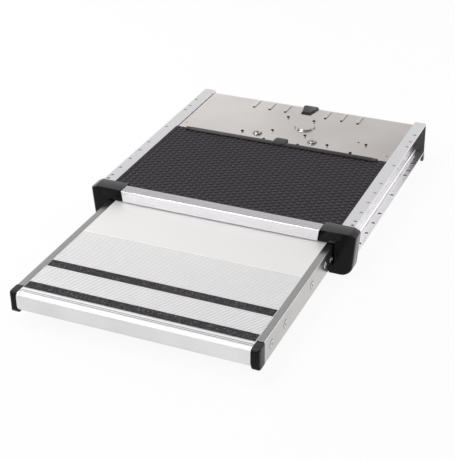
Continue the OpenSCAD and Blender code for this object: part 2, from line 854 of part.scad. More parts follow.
// Side profile of the tread: a flat tube with a rounded outer top edge
module side_profile() {
    x0 = tread_half - side_w;
    y0 = nose_y + nose_cap_l;
    color("#b5b4b5") difference() {
        along_y(y0, tail_y) difference() {
            union() {
                rect(x0, tread_bottom, tread_half - 1.2, tread_top);
                rect(x0, tread_bottom, tread_half, tread_top - 1.2);
                translate([tread_half - 1.2, tread_top - 1.2]) circle(1.2);
            }
            rect(
                x0 + profile_wall, tread_bottom + profile_wall,
                tread_half - profile_wall, tread_top - profile_wall
            );
        }
        for (y = side_screw_y) translate([x0 - 1, nose_y + y, side_screw_z]) rotate([0, 90, 0]) {
            cylinder(h = side_w + 2, r = side_screw_r + seat);
        }
        translate([tread_half - profile_wall - 1, nose_y + rivet_y, rivet_z]) rotate([0, 90, 0]) {
            cylinder(h = profile_wall + 2, r = rivet_r + seat);
        }
    }
}

module side_profile_right() {
    side_profile();
}

module side_profile_left() {
    left_hand() side_profile();
}

// Section of the nose in Y and Z, with a round edge above and a larger one below
module nose_section(bottom, inset) {
    r = nose_r - inset;
    low_r = nose_low_r - inset;
    y0 = nose_y + inset;
    y1 = nose_y + nose_d - inset;
    z0 = bottom + inset;
    z1 = tread_top - inset;
    intersection() {
        union() {
            translate([y0 + r, z1 - r]) circle(r, $fn = 72);
            translate([y0 + low_r, z0 + low_r]) circle(low_r, $fn = 72);
            rect(y0 + r, z1 - r, y1, z1);
            rect(y0, z0 + low_r, y1, z1 - r);
            rect(y0 + low_r, z0, y1, z0 + low_r);
        }
        rect(y0, z0, y1, z1);
    }
}

module nose_profile() {
    color("#dddcdd") along_x(-deck_half, deck_half) difference() {
        nose_section(tread_bottom + nose_lift, 0);
        nose_section(tread_bottom + nose_lift, profile_wall);
    }
}

// Moulded end cap that closes the nose and the front of a side profile
module nose_cap() {
    x0 = deck_half + 0.1;
    x1 = tread_half + 1.2;
    y1 = nose_y + nose_cap_l - seat;
    corner = 6;
    color("#262526") union() {
        intersection() {
            along_x(x0, x1) {
                nose_section(tread_bottom, 0);
                rect(nose_y + nose_d - 1, tread_bottom, y1, tread_top);
            }
            along_z(tread_bottom - 1, tread_top + 1) {
                rect(x0 - 1, nose_y - 1, x1 - corner, y1 + 1);
                rect(x0 - 1, nose_y + corner, x1, y1 + 1);
                translate([x1 - corner, nose_y + corner]) circle(corner);
            }
        }
        // Plug inside the side profile's tube
        along_y(y1 - 1, y1 + 12) rect(
            tread_half - side_w + profile_wall + seat, tread_bottom + profile_wall + seat,
            tread_half - profile_wall - seat, tread_top - profile_wall - seat
        );
    }
}

module nose_cap_right() {
    nose_cap();
}

module nose_cap_left() {
    left_hand() nose_cap();
}

// Ribbed deck: an extruded plank with grooves across the tread, each half a spacing wide at the top
groove_foot = 0.14;    // half the groove's floor, as a share of the spacing
groove_slope = 0.11;   // how far each side leans outwards, as a share of the spacing

module deck_ribbed() {
    groove_count = floor(ribbed_l / deck_rib_pitch) - 1;
    color("#e4e3e4") along_x(-deck_half, deck_half) difference() {
        rect(deck_front, tread_top - deck_t, deck_split, tread_top);
        for (i = [0:groove_count - 1]) {
            y = (deck_front + deck_split) / 2 + (i - (groove_count - 1) / 2) * deck_rib_pitch;
            foot = groove_foot * deck_rib_pitch;
            mouth = foot + 2 * groove_slope * deck_rib_pitch;
            polygon([
                [y - foot, tread_top - deck_rib_h], [y + foot, tread_top - deck_rib_h],
                [y + mouth, tread_top + deck_rib_h], [y - mouth, tread_top + deck_rib_h]
            ]);
        }
    }
}

module deck_plain() {
    color("#e8e7e8") translate([-deck_half, deck_split + 0.3, tread_top - deck_t]) {
        cube([2 * deck_half, crossbar_rear - deck_split - 0.3, deck_t]);
    }
}

// Cross tubes under the deck, one at each pair of side screws
bearer_d = 14;

module deck_bearers() {
    z0 = side_screw_z - 6;
    z1 = tread_top - deck_t;
    color("silver") for (y = side_screw_y) difference() {
        along_x(-deck_half - 0.6, deck_half + 0.6) difference() {
            rect(nose_y + y - bearer_d / 2, z0, nose_y + y + bearer_d / 2, z1);
            rect(nose_y + y - bearer_d / 2 + 2, side_screw_z + 5, nose_y + y + bearer_d / 2 - 2, z1 - 2);
        }
        translate([0, nose_y + y, side_screw_z]) rotate([0, 90, 0]) {
            cylinder(h = 2 * deck_half + 10, r = side_screw_r, center = true);
        }
    }
}

module rear_crossbar() {
    color("silver") along_x(-deck_half - 0.6, deck_half + 0.6) difference() {
        rect(crossbar_rear - crossbar_d, tread_bottom + 4, crossbar_rear, tread_top - deck_t);
        rect(crossbar_rear - crossbar_d + 2, tread_bottom + 6, crossbar_rear - 2, tread_top - deck_t - 2);
    }
}

module grip_strip(y0) {
    color("#3d3b3c") translate([-deck_half + 1.5, y0, tread_top + 0.02]) {
        cube([2 * deck_half - 3, grip_w, grip_t - 0.02]);
    }
}

module grip_strip_front() {
    grip_strip(grip_front_y);
}

module grip_strip_rear() {
    grip_strip(grip_rear_y);
}

module side_screws() {
    color("gray") for (side = [-1, 1]) {
        for (y = side_screw_y) {
            translate([side * tread_half, nose_y + y, side_screw_z]) rotate([0, side * 90, 0]) {
                difference() {
                    cylinder(h = 0.9, r = 3.4);
                    translate([0, 0, 0.4]) cylinder(h = 1, r = 1.5, $fn = 6);
                }
                translate([0, 0, -side_w - 14]) cylinder(h = side_w + 14.01, r = side_screw_r - 0.02);
            }
        }
        translate([side * tread_half, nose_y + rivet_y, rivet_z]) rotate([0, side * 90, 0]) {
            translate([0, 0, -profile_wall - 1]) cylinder(h = profile_wall + 1.01, r = rivet_r);
            cylinder(h = rivet_head_h, r1 = rivet_head_r, r2 = rivet_head_r - 0.3);
        }
    }
}

// Plug in the rear end of a side profile
module tail_plug() {
    color("#2d2c2d") {
        along_y(tail_y, tail_y + plug_t) rect(tread_half - side_w, tread_bottom, tread_half, tread_top);
        along_y(tail_y - 12, tail_y + 1) rect(
            tread_half - side_w + profile_wall + seat, tread_bottom + profile_wall + seat,
            tread_half - profile_wall - seat, tread_top - profile_wall - seat
        );
    }
}

module tail_plug_right() {
    tail_plug();
}

module tail_plug_left() {
    left_hand() tail_plug();
}

// Clamp that ties the belt's left run to the tread: a foot on the deck and two jaws round the belt
module belt_clamp() {
    arm_z = bracket_z + bracket_t + 0.6;
    top = belt_z + belt_w + 1.4;
    jaw_y = crossbar_rear + 7;
    jaw_l = 10.5;
    color("#c8c4b8") {
        translate([clamp_x0, crossbar_rear - crossbar_d, tread_top]) {
            cube([outer_x - clamp_x0, crossbar_d, top - tread_top]);
        }
        translate([clamp_x0 + 2, crossbar_rear - 1, arm_z]) {
            cube([outer_x - clamp_x0 - 2, jaw_y + jaw_l - crossbar_rear + 1, top - arm_z]);
        }
        translate([inner_x, jaw_y, arm_z]) cube([clamp_x1 - inner_x, jaw_l, top - arm_z]);
        translate([outer_x - 1, jaw_y, belt_z + belt_w + 0.4]) cube([inner_x - outer_x + 2, jaw_l, 1]);
    }
}

rail_left();
rail_right();
front_beam();
beam_cap_left();
beam_cap_right();
cap_screws();
top_plate();
plate_bar();
rear_pan();
pan_clip_front();
pan_clip_rear();
pan_screws();
pan_bolts();
rear_wall();
rail_end_left();
rail_end_right();
rail_end_screws();
upper_guide_left();
upper_guide_right();
lower_guide_left();
lower_guide_right();
motor_bracket();
bracket_spacers();
gearbox();
motor_can();
motor_connector();
drive_belt();
idler_bracket();
idler_pin();
idler_pulley();
drive_pulley();
output_shaft();
side_profile_left();
side_profile_right();
nose_profile();
nose_cap_left();
nose_cap_right();
deck_ribbed();
deck_plain();
deck_bearers();
rear_crossbar();
grip_strip_front();
grip_strip_rear();
side_screws();
tail_plug_left();
tail_plug_right();
belt_clamp();
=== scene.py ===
# Pull out entrance step for a caravan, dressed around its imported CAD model
import json
import math

import bmesh
import bpy
import numpy as np
from mathutils import Matrix, Vector


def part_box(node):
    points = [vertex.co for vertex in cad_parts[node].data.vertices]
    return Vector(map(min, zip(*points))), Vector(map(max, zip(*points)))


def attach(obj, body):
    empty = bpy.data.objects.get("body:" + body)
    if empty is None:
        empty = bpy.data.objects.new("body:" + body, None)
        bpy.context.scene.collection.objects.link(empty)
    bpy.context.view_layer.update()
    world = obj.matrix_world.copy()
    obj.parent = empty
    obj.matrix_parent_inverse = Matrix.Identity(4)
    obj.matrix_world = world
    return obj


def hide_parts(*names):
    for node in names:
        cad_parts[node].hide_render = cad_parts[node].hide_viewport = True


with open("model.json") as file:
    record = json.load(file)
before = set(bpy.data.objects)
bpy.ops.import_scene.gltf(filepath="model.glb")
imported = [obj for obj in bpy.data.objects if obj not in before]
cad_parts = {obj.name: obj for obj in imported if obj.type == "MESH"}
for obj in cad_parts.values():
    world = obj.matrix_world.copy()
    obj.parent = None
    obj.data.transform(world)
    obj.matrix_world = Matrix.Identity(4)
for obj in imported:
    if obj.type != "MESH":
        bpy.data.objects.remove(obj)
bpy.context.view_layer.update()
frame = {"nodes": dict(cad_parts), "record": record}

scene = bpy.context.scene
scene.view_settings.view_transform = "Standard"
mm = 0.001
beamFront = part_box("front_beam")[0].y
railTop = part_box("rail_right")[1].z
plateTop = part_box("top_plate")[1].z
cassetteBox = (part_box("rail_left")[0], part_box("rail_right")[1])
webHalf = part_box("rear_wall")[1].x
print("loaded", len(frame["nodes"]), "CAD nodes")


def addObject(name, data):
    # A new object with this data, linked to the scene
    thing = bpy.data.objects.new(name, data)
    scene.collection.objects.link(thing)
    return thing


# Camera, solved from the right angles of the object in the photo
cameraSetup = {
    "azimuth": 23.829,  # degrees, 0 looks along +Y
    "elevation": 29.586,  # degrees above the horizon
    "roll": -0.816,  # degrees
    # Across, and from the beam's front face, at the height of the rails' top
    "target": (41.58 * mm, -52 * mm),
    "distance": 1906.1 * mm,
    "focalPixels": 1206.93,  # focal length in the photo's pixels
    "framePixels": (455, 460),
    "sensor": 36.0,  # millimetres along the longer side
}


def makeCamera(setup):
    # The camera looks back along its own axis at the target, turned by the roll about that axis
    a, e, r = (math.radians(setup[k]) for k in ("azimuth", "elevation", "roll"))
    back = Vector((math.sin(a) * math.cos(e), -math.cos(a) * math.cos(e), math.sin(e)))
    level = Vector((math.cos(a), math.sin(a), 0))
    upright = back.cross(level)
    right = math.cos(r) * level + math.sin(r) * upright
    up = -math.sin(r) * level + math.cos(r) * upright
    data = bpy.data.cameras.new("photoCamera")
    data.sensor_width = setup["sensor"]
    data.lens = setup["focalPixels"] * setup["sensor"] / max(setup["framePixels"])
    camera = addObject("photoCamera", data)
    turn = Matrix((right, up, back)).transposed().to_4x4()
    target = Vector((setup["target"][0], beamFront + setup["target"][1], railTop))
    camera.matrix_world = Matrix.Translation(target + back * setup["distance"]) @ turn
    scene.camera = camera


makeCamera(cameraSetup)
print("camera made")


# Nodes and colours for the materials
def linearColour(hexText):
    # sRGB hex to linear: a straight line below 0.04045, and a power of 2.4 above it
    channels = [int(hexText[i:i + 2], 16) / 255 for i in (1, 3, 5)]
    return [c / 12.92 if c <= 0.04045 else ((c + 0.055) / 1.055) ** 2.4 for c in channels] + [1.0]


def addNode(tree, kind, settings, links):
    # Adds a node and gives its outputs: a setting is a property or an input's value, a link feeds an input
    node = tree.nodes.new("ShaderNode" + kind)
    for name, value in settings.items():
        if isinstance(name, str) and hasattr(node, name):
            setattr(node, name, value)
        else:
            node.inputs[name].default_value = value
    for name, output in links.items():
        tree.links.new(output, node.inputs[name])
    return node.outputs


def startMaterial(name, metallic, shine=0.5):
    # A new material with its shader, and the piece's own coordinates in metres
    material = bpy.data.materials.new(name)
    material.use_nodes = True
    tree = material.node_tree
    shader = tree.nodes["Principled BSDF"]
    shader.inputs["Metallic"].default_value = metallic
    shader.inputs["Specular IOR Level"].default_value = shine
    place = addNode(tree, "TexCoord", {}, {})["Object"]
    return material, tree, shader, place


def paintTwoTone(tree, shader, factor, low, high):
    # Base colour that runs from one hex value to another with the factor
    tones = {"data_type": "RGBA", 6: linearColour(low), 7: linearColour(high)}
    mix = addNode(tree, "Mix", tones, {0: factor})
    tree.links.new(mix[2], shader.inputs["Base Color"])
    return mix


def paintOver(tree, shader, base, factor, colour):
    # Covers the base colour with another hex value where the factor is 1
    cover = {"data_type": "RGBA", 7: linearColour(colour)}
    mix = addNode(tree, "Mix", cover, {0: factor, 6: base[2]})
    tree.links.new(mix[2], shader.inputs["Base Color"])
    return mix


def lookUp(tree, limits):
    # How far up the surface looks, and a factor that runs from 0 to 1 between the two limits of that
    normal = addNode(tree, "NewGeometry", {}, {})["Normal"]
    rise = addNode(tree, "SeparateXYZ", {}, {0: normal})["Z"]
    factor = addNode(tree, "MapRange", {"From Min": limits[0], "From Max": limits[1]}, {"Value": rise})
    return rise, factor["Result"]


def setTexture(tree, shader, factor, rough, relief):
    # Roughness between two values with the factor, and a bump whose full depth is given in metres
    spread = addNode(tree, "MapRange", {"To Min": rough[0], "To Max": rough[1]}, {"Value": factor})
    tree.links.new(spread["Result"], shader.inputs["Roughness"])
    bump = addNode(tree, "Bump", {"Distance": relief, "Strength": 1.0}, {"Height": factor})
    tree.links.new(bump["Normal"], shader.inputs["Normal"])


# Extruded anodised aluminium: the die leaves faint lines along the profile, and the anodising dulls the
# shine. Faces that look up get a painted tone, lighter or darker, for how the light falls on them, and the
# walls of drilled holes get painted shade, fuller in the lower flange
extrusions = {
    "railAluminium": {
        "low": "#edebed", "high": "#f8f7f8", "paintedTopShading": "#ecebed", "holeShade": "#2c2a2c",
        "along": 1, "rough": (0.28, 0.38), "relief": 0.006 * mm,
        "holes": (214 * mm, 224.2 * mm),  # the holes lie between these distances from the middle
    },
    "beamAluminium": {
        "low": "#ebeaed", "high": "#f1f0f2", "paintedTopShading": "#cfcdd1",
        "along": 0, "rough": (0.24, 0.30), "relief": 0.002 * mm,
    },
    "noseAluminium": {
        # its groove tone is painted shade in ribs that are drawn only in colour
        "low": "#dbdadb", "high": "#e6e5e6", "paintedTopShading": "#f6f5f6", "groove": "#8f8d8f",
        "along": 0, "rough": (0.40, 0.50), "relief": 0.003 * mm,
    },
    "sideAluminium": {
        "low": "#b6b4b3", "high": "#c3c1c0", "paintedTopShading": "#b1b0b0",
        "along": 1, "rough": (0.20, 0.27), "relief": 0.003 * mm,
    },
}
die = {
    "line": 2.4 * mm,  # the real lines are about 0.2 mm apart, drawn this coarse so that they show
    "stretch": 0.015,  # how much slower the pattern changes along the profile than across it
    "cloud": 71.4286 * mm,  # width of the faint clouds in the tone
    "lineShare": 0.5,  # how much of the lines is added to the clouds
    "tone": (0.5, 1.0),  # that sum at the lowest and at the highest tone
    "level": (0.75, 0.95),  # how far up the normal points where the painted top tone begins and is full
    "wallLean": 0.4,  # a hole's wall looks up or down by less than this
    "topHoles": 0.45,  # how dark the painted shade in the top flange's holes is, with 1 for the lower flange's
    "sawnEnd": 0.5 * mm,  # faces this near the rails' rear end are no holes
}
noseRibs = {
    "pitch": 3.58 * mm,
    "edges": (0.42, 0.30),  # shares of the pitch at which the land starts and the groove ends
    "front": (8.5 * mm, 8 * mm),  # how far in front of the deck the grooves fade out
}


def holeWallShade(tree, rise, place, reach):
    # A wall that looks sideways, away from the web and the flange's edges, belongs to a hole and takes
    # painted shade, fuller lower down
    spot = addNode(tree, "SeparateXYZ", {}, {0: place})
    upright = addNode(tree, "Math", {"operation": "ABSOLUTE"}, {0: rise})[0]
    away = addNode(tree, "Math", {"operation": "ABSOLUTE"}, {0: spot["X"]})[0]
    heights = {"From Min": cassetteBox[0].z, "From Max": railTop, "To Min": 1.0, "To Max": die["topHoles"]}
    wall = addNode(tree, "MapRange", heights, {"Value": spot["Z"]})["Result"]
    for source, test, limit in (
        (upright, "LESS_THAN", die["wallLean"]),
        (away, "GREATER_THAN", reach[0]),
        (away, "LESS_THAN", reach[1]),
        (spot["Y"], "LESS_THAN", cassetteBox[1].y - die["sawnEnd"]),
    ):
        true = addNode(tree, "Math", {"operation": test, 1: limit}, {0: source})[0]
        wall = addNode(tree, "Math", {"operation": "MULTIPLY"}, {0: wall, 1: true})[0]
    return wall


def ribGrooveShade(tree, level, place):
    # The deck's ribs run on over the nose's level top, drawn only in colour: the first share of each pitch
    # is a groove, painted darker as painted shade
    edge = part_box("deck_ribbed")[0].y
    deep = addNode(tree, "SeparateXYZ", {}, {0: place})["Y"]
    steps = {"clamp": False, "From Min": edge, "From Max": edge + noseRibs["pitch"]}
    count = addNode(tree, "MapRange", steps, {"Value": deep})["Result"]
    share = addNode(tree, "Math", {"operation": "FRACT"}, {0: count})[0]
    land, groove = noseRibs["edges"]
    cut = addNode(tree, "MapRange", {"From Min": land, "From Max": groove}, {"Value": share})
    start, end = noseRibs["front"]
    flat = addNode(tree, "MapRange", {"From Min": edge - start, "From Max": edge - end}, {"Value": deep})
    cut = cut["Result"]
    for factor in (flat["Result"], level):
        cut = addNode(tree, "Math", {"operation": "MULTIPLY"}, {0: cut, 1: factor})[0]
    return cut


def makeExtrusion(name, setup):
    material, tree, shader, place = startMaterial(name, 1.0)
    scale = [1.0, 1.0, 1.0]
    scale[setup["along"]] = die["stretch"]
    drawn = addNode(tree, "Mapping", {"Scale": scale}, {"Vector": place})["Vector"]
    noise = {"Scale": 1 / die["line"], "Detail": 3.0, "Roughness": 0.6}
    lines = addNode(tree, "TexNoise", noise, {"Vector": drawn})["Fac"]
    cloud = addNode(tree, "TexNoise", {"Scale": 1 / die["cloud"], "Detail": 2.0}, {"Vector": place})["Fac"]
    share = {"operation": "MULTIPLY_ADD", 1: die["lineShare"]}
    blend = addNode(tree, "Math", share, {0: lines, 2: cloud})[0]
    low, high = die["tone"]
    tone = addNode(tree, "MapRange", {"From Min": low, "From Max": high}, {"Value": blend})
    base = paintTwoTone(tree, shader, tone["Result"], setup["low"], setup["high"])
    # Painted light and shade: a lighter or darker tone on the faces that look up
    rise, level = lookUp(tree, die["level"])
    base = paintOver(tree, shader, base, level, setup["paintedTopShading"])
    # Painted shade on the walls of the rails' holes
    if "holeShade" in setup:
        paintOver(tree, shader, base, holeWallShade(tree, rise, place, setup["holes"]), setup["holeShade"])
    # Painted shade in the grooves of the nose's ribs
    if "groove" in setup:
        paintOver(tree, shader, base, ribGrooveShade(tree, level, place), setup["groove"])
    setTexture(tree, shader, lines, setup["rough"], setup["relief"])
    return material


# Satin anodised deck planks: bright lands, and grooves painted darker with their depth, as painted shade
# and some dirt
deckPlanks = {
    "ribbedDeckAluminium": {"land": "#fefdfd", "groove": "#b6b4b5", "metallic": 0.1},
    "plainDeckAluminium": {"land": "#f3f2f1", "groove": "#c4c2c3", "metallic": 0.25},
}
deckSurface = {
    "grooveDepth": 0.8 * mm,
    "landEdge": 0.05 * mm,  # how far under the top the full brightness begins
    "grain": 1.6 * mm,  # the etched grain is under 0.1 mm, drawn this coarse so that it shows
    "softest": 0.86,  # the grain takes the tone down to this share
    "rough": (0.38, 0.52),
    "relief": 0.015 * mm,
}


def makeDeckAluminium(name, plank, setup):
    material, tree, shader, place = startMaterial(name, plank["metallic"])
    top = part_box("deck_ribbed")[1].z
    height = addNode(tree, "SeparateXYZ", {}, {0: place})["Z"]
    # Painted shade and dirt: the tone darkens down into the grooves
    depths = {"From Min": top - setup["grooveDepth"], "From Max": top - setup["landEdge"]}
    level = addNode(tree, "MapRange", depths, {"Value": height})["Result"]
    noise = {"Scale": 1 / setup["grain"], "Detail": 4.0}
    grain = addNode(tree, "TexNoise", noise, {"Vector": place})["Fac"]
    soft = addNode(tree, "MapRange", {"To Min": setup["softest"], "To Max": 1.0}, {"Value": grain})
    tone = addNode(tree, "Math", {"operation": "MULTIPLY"}, {0: level, 1: soft["Result"]})
    paintTwoTone(tree, shader, tone[0], plank["groove"], plank["land"])
    setTexture(tree, shader, grain, setup["rough"], setup["relief"])
    return material


# Rolled stainless steel: a fine satin from the rolls, slightly warm, with soft wide bands and a painted
# fall in reflected light from left to right. The steepest sides of its pressings and its punched edges get
# painted shade
panFinish = {
    "low": "#c4bebb", "high": "#efeae8", "steepShade": "#3b3737",
    "band": 120 * mm,
    "grain": 1.2 * mm,  # the real grain is about 0.1 mm wide, drawn this coarse so that it shows
    "stretch": 0.04,  # how much slower the grain changes across than along the step
    "rough": (0.16, 0.26),
    "relief": 0.006 * mm,
    "lean": (0.87, 0.68),  # how far up the normal points where the painted shade begins and is full
    "fall": 0.75,  # share of the tone that falls from one side to the other, as painted reflection
    "bands": (0.3, 0.7),  # the noise, where the bands' share of the tone is lowest and highest
}


def makeStainless(setup):
    material, tree, shader, place = startMaterial("rolledStainlessSteel", 1.0)
    bands = addNode(tree, "TexNoise", {"Scale": 1 / setup["band"], "Detail": 1.0}, {"Vector": place})
    drawn = addNode(tree, "Mapping", {"Scale": (setup["stretch"], 1.0, 1.0)}, {"Vector": place})
    noise = {"Scale": 1 / setup["grain"], "Detail": 3.0}
    grain = addNode(tree, "TexNoise", noise, {"Vector": drawn["Vector"]})["Fac"]
    # Painted reflection: the tone falls from left to right across the pan
    across = addNode(tree, "SeparateXYZ", {}, {0: place})["X"]
    sides = {"From Min": -webHalf, "From Max": webHalf, "To Min": setup["fall"], "To Max": 0.0}
    fall = addNode(tree, "MapRange", sides, {"Value": across})
    low, high = setup["bands"]
    rest = {"From Min": low, "From Max": high, "To Max": 1 - setup["fall"]}
    cloud = addNode(tree, "MapRange", rest, {"Value": bands["Fac"]})
    both = {0: fall["Result"], 1: cloud["Result"]}
    tone = addNode(tree, "Math", {"operation": "ADD"}, both)
    base = paintTwoTone(tree, shader, tone[0], setup["low"], setup["high"])
    # Painted shade on the steepest sides of the pressings and on the holes' walls
    paintOver(tree, shader, base, lookUp(tree, setup["lean"])[1], setup["steepShade"])
    setTexture(tree, shader, grain, setup["rough"], setup["relief"])
    return material


# Moulded plastics: the pits of a spark-eroded mould, drawn coarser than their real 0.2 mm so that they
# show, and a painted tone on the faces that look up, mostly lighter, for the light that falls on them
mouldings = {
    "mouldedPolyamide": {
        "low": "#070607", "high": "#0c0b0c", "paintedTopLight": "#3a3839",
        "rough": (0.12, 0.20), "pit": 0.9 * mm, "shine": 0.15,
    },
    "filledPolyamide": {
        "low": "#0b0a0b", "high": "#131213", "paintedTopLight": "#3a3839",
        "rough": (0.30, 0.42), "pit": 0.9 * mm, "shine": 0.15,
    },
    "greyPolyamide": {
        "low": "#49484a", "high": "#5c5b5d", "paintedTopLight": "#5c5b5d",
        "rough": (0.22, 0.34), "pit": 0.9 * mm, "shine": 0.5,
    },
    "acetalResin": {
        "low": "#e2ded4", "high": "#efece4", "paintedTopLight": "#e2ded4",
        "rough": (0.30, 0.42), "pit": 1.4 * mm, "shine": 0.5,
    },
    "toothedRubber": {
        "low": "#161616", "high": "#232323", "paintedTopLight": "#2b2b2b",
        "rough": (0.62, 0.80), "pit": 0.8 * mm, "shine": 0.2,
    },
}
mould = {
    "flow": 45.4545 * mm,  # width of the faint clouds that the flow of the melt leaves
    "paintedTopLevel": (0.6, 0.98),  # how far up the normal points where the painted top light begins and is full
    "relief": 0.03 * mm,
}


def makeMoulding(name, setup):
    material, tree, shader, place = startMaterial(name, 0.0, setup["shine"])
    pits = addNode(tree, "TexNoise", {"Scale": 1 / setup["pit"], "Detail": 4.0}, {"Vector": place})["Fac"]
    flow = addNode(tree, "TexNoise", {"Scale": 1 / mould["flow"], "Detail": 2.0}, {"Vector": place})
    base = paintTwoTone(tree, shader, flow["Fac"], setup["low"], setup["high"])
    # Painted light: a tone on the faces that look up
    paintOver(tree, shader, base, lookUp(tree, mould["paintedTopLevel"])[1], setup["paintedTopLight"])
    setTexture(tree, shader, pits, setup["rough"], mould["relief"])
    return material


# Powder coated embossed sheet: fine orange peel, and painted shade on the steep sides of the studs
plateFinish = {
    "low": "#0a090a", "high": "#3e3b3f",
    "peel": 1.1 * mm, "rough": (0.42, 0.58), "relief": 0.04 * mm, "shine": 0.10,
}
studHeight = 1.2 * mm


def makePowderCoat(setup):
    material, tree, shader, place = startMaterial("powderCoatedSheet", 0.0, setup["shine"])
    height = addNode(tree, "SeparateXYZ", {}, {0: place})["Z"]
    # Runs from -1 at the foot of a stud to 1 on its top, and without its sign it is smallest on the sides,
    # where the painted shade is darkest
    heights = {"From Min": plateTop, "From Max": plateTop + studHeight, "To Min": -1.0, "To Max": 1.0}
    level = addNode(tree, "MapRange", heights, {"Value": height})
    flat = addNode(tree, "Math", {"operation": "ABSOLUTE"}, {0: level["Result"]})
    peel = addNode(tree, "TexNoise", {"Scale": 1 / setup["peel"], "Detail": 3.0}, {"Vector": place})["Fac"]
    # Painted shade: the low tone on the studs' steep sides
    paintTwoTone(tree, shader, flat[0], setup["low"], setup["high"])
    setTexture(tree, shader, peel, setup["rough"], setup["relief"])
    return material


# Mineral grit on a film: dark grains, and a painted glint on a few of them
gritFinish = {
    "low": "#171618", "high": "#4d4b4e", "paintedGlint": "#7a787a",
    "grain": 1.25 * mm, "rough": (0.85, 0.85), "relief": 0.25 * mm, "shine": 0.2,
    "paintedGlintRange": (0.92, 0.98),  # a grain's random number where its painted glint begins and is full
}


def makeGrit(setup):
    material, tree, shader, place = startMaterial("mineralGritTape", 0.0, setup["shine"])
    grains = addNode(tree, "TexVoronoi", {"Scale": 1 / setup["grain"]}, {"Vector": place})
    shade = addNode(tree, "SeparateColor", {}, {0: grains["Color"]})
    base = paintTwoTone(tree, shader, shade["Red"], setup["low"], setup["high"])
    # Painted highlight: a glint on a few grains
    low, high = setup["paintedGlintRange"]
    lit = addNode(tree, "MapRange", {"From Min": low, "From Max": high}, {"Value": shade["Green"]})
    paintOver(tree, shader, base, lit["Result"], setup["paintedGlint"])
    setTexture(tree, shader, grains["Distance"], setup["rough"], setup["relief"])
    return material


# Zinc plated and cast metals of the screws and the drive: plating flakes or casting grain break the shine
metalGrains = {
    "zincPlatedScrew": {"low": "#c3c2c2", "high": "#dbdad9", "rough": (0.14, 0.24), "grain": 2.5 * mm},
    "zincPlatedSheet": {"low": "#a3a6a9", "high": "#c3c6c8", "rough": (0.30, 0.46), "grain": 9 * mm},
    "dieCastAluminium": {"low": "#8f9194", "high": "#a5a7aa", "rough": (0.48, 0.66), "grain": 1.2 * mm},
    "phosphatedSteel": {"low": "#4d4f53", "high": "#66686c", "rough": (0.40, 0.55), "grain": 2.5 * mm},
    # also the dark cores of the screw heads, painted shade
    "blackOxideAndPaintedShade": {"low": "#232122", "high": "#343233", "rough": (0.16, 0.26), "grain": 1.2 * mm},
}
metalSkin = {
    "fine": 1.1111 * mm,  # the plating's own grain is finer, drawn this coarse so that it shows
    "relief": 0.02 * mm,
}


def makeGrainMetal(name, setup):
    material, tree, shader, place = startMaterial(name, 1.0)
    flakes = addNode(tree, "TexVoronoi", {"Scale": 1 / setup["grain"]}, {"Vector": place})
    shade = addNode(tree, "SeparateColor", {}, {0: flakes["Color"]})
    paintTwoTone(tree, shader, shade["Red"], setup["low"], setup["high"])
    noise = {"Scale": 1 / metalSkin["fine"], "Detail": 3.0}
    fine = addNode(tree, "TexNoise", noise, {"Vector": place})["Fac"]
    setTexture(tree, shader, fine, setup["rough"], metalSkin["relief"])
    return material


finishes = {name: makeExtrusion(name, setup) for name, setup in extrusions.items()}
finishes.update({name: makeMoulding(name, setup) for name, setup in mouldings.items()})
finishes.update({name: makeGrainMetal(name, setup) for name, setup in metalGrains.items()})
finishes.update({name: makeDeckAluminium(name, plank, deckSurface) for name, plank in deckPlanks.items()})
finishes["rolledStainlessSteel"] = makeStainless(panFinish)
finishes["powderCoatedSheet"] = makePowderCoat(plateFinish)
finishes["mineralGritTape"] = makeGrit(gritFinish)
print("made", len(finishes), "materials")


# Finish of each CAD node, and the radius that its sharp edges are rounded by, in millimetres
nodeFinish = {
    "railAluminium": {"rail_left": 0.4, "rail_right": 0.4},
    "beamAluminium": {"front_beam": 0.3},
    "noseAluminium": {"nose_profile": 0.2},
    "sideAluminium": {
        "side_profile_left": 1.6, "side_profile_right": 1.6, "deck_bearers": 0.3, "rear_crossbar": 0.3,
    },
    "ribbedDeckAluminium": {"deck_ribbed": 0.1},
    "plainDeckAluminium": {"deck_plain": 0.2},
    "powderCoatedSheet": {"top_plate": 0},
    "mineralGritTape": {"grip_strip_front": 0, "grip_strip_rear": 0},
    "rolledStainlessSteel": {"rear_pan": 0},
    "mouldedPolyamide": {
        "beam_cap_left": 0, "beam_cap_right": 0, "pan_clip_front": 0, "pan_clip_rear": 0.6,
        "nose_cap_left": 2.2, "nose_cap_right": 2.2, "tail_plug_left": 0.4, "tail_plug_right": 0.4,
        "motor_connector": 0.3,
    },
    "filledPolyamide": {"plate_bar": 0},
    "greyPolyamide": {"rail_end_left": 0.5, "rail_end_right": 0.5},
    "zincPlatedScrew": {"rail_end_screws": 0.15, "idler_pin": 0.2, "output_shaft": 0.2},
    "blackOxideAndPaintedShade": {"cap_screws": 0, "pan_screws": 0, "pan_bolts": 0, "side_screws": 0},
    "acetalResin": {
        "upper_guide_left": 0.3, "upper_guide_right": 0.3, "lower_guide_left": 0.3,
        "lower_guide_right": 0.3, "idler_pulley": 0.2, "belt_clamp": 0.3,
    },
    "zincPlatedSheet": {
        "rear_wall": 0.3, "motor_bracket": 0.3, "bracket_spacers": 0.2, "idler_bracket": 0.2,
    },
    "dieCastAluminium": {"gearbox": 0.6, "drive_pulley": 0.2},
    "phosphatedSteel": {"motor_can": 0.4},
    "toothedRubber": {"drive_belt": 0},
}
bodyOf = {node: body for body, nodes in frame["record"]["behaviour"]["bodies"].items() for node in nodes}
rounding = {
    "merge": 0.002 * mm,
    "flat": 0.5,  # degrees, faces that meet at less become one
    "sharp": 32,  # degrees, edges over this shade sharp
    "edge": 40,  # degrees, edges over this are rounded
    "large": 1,  # a radius over this gets 4 segments, and a smaller one 2
}


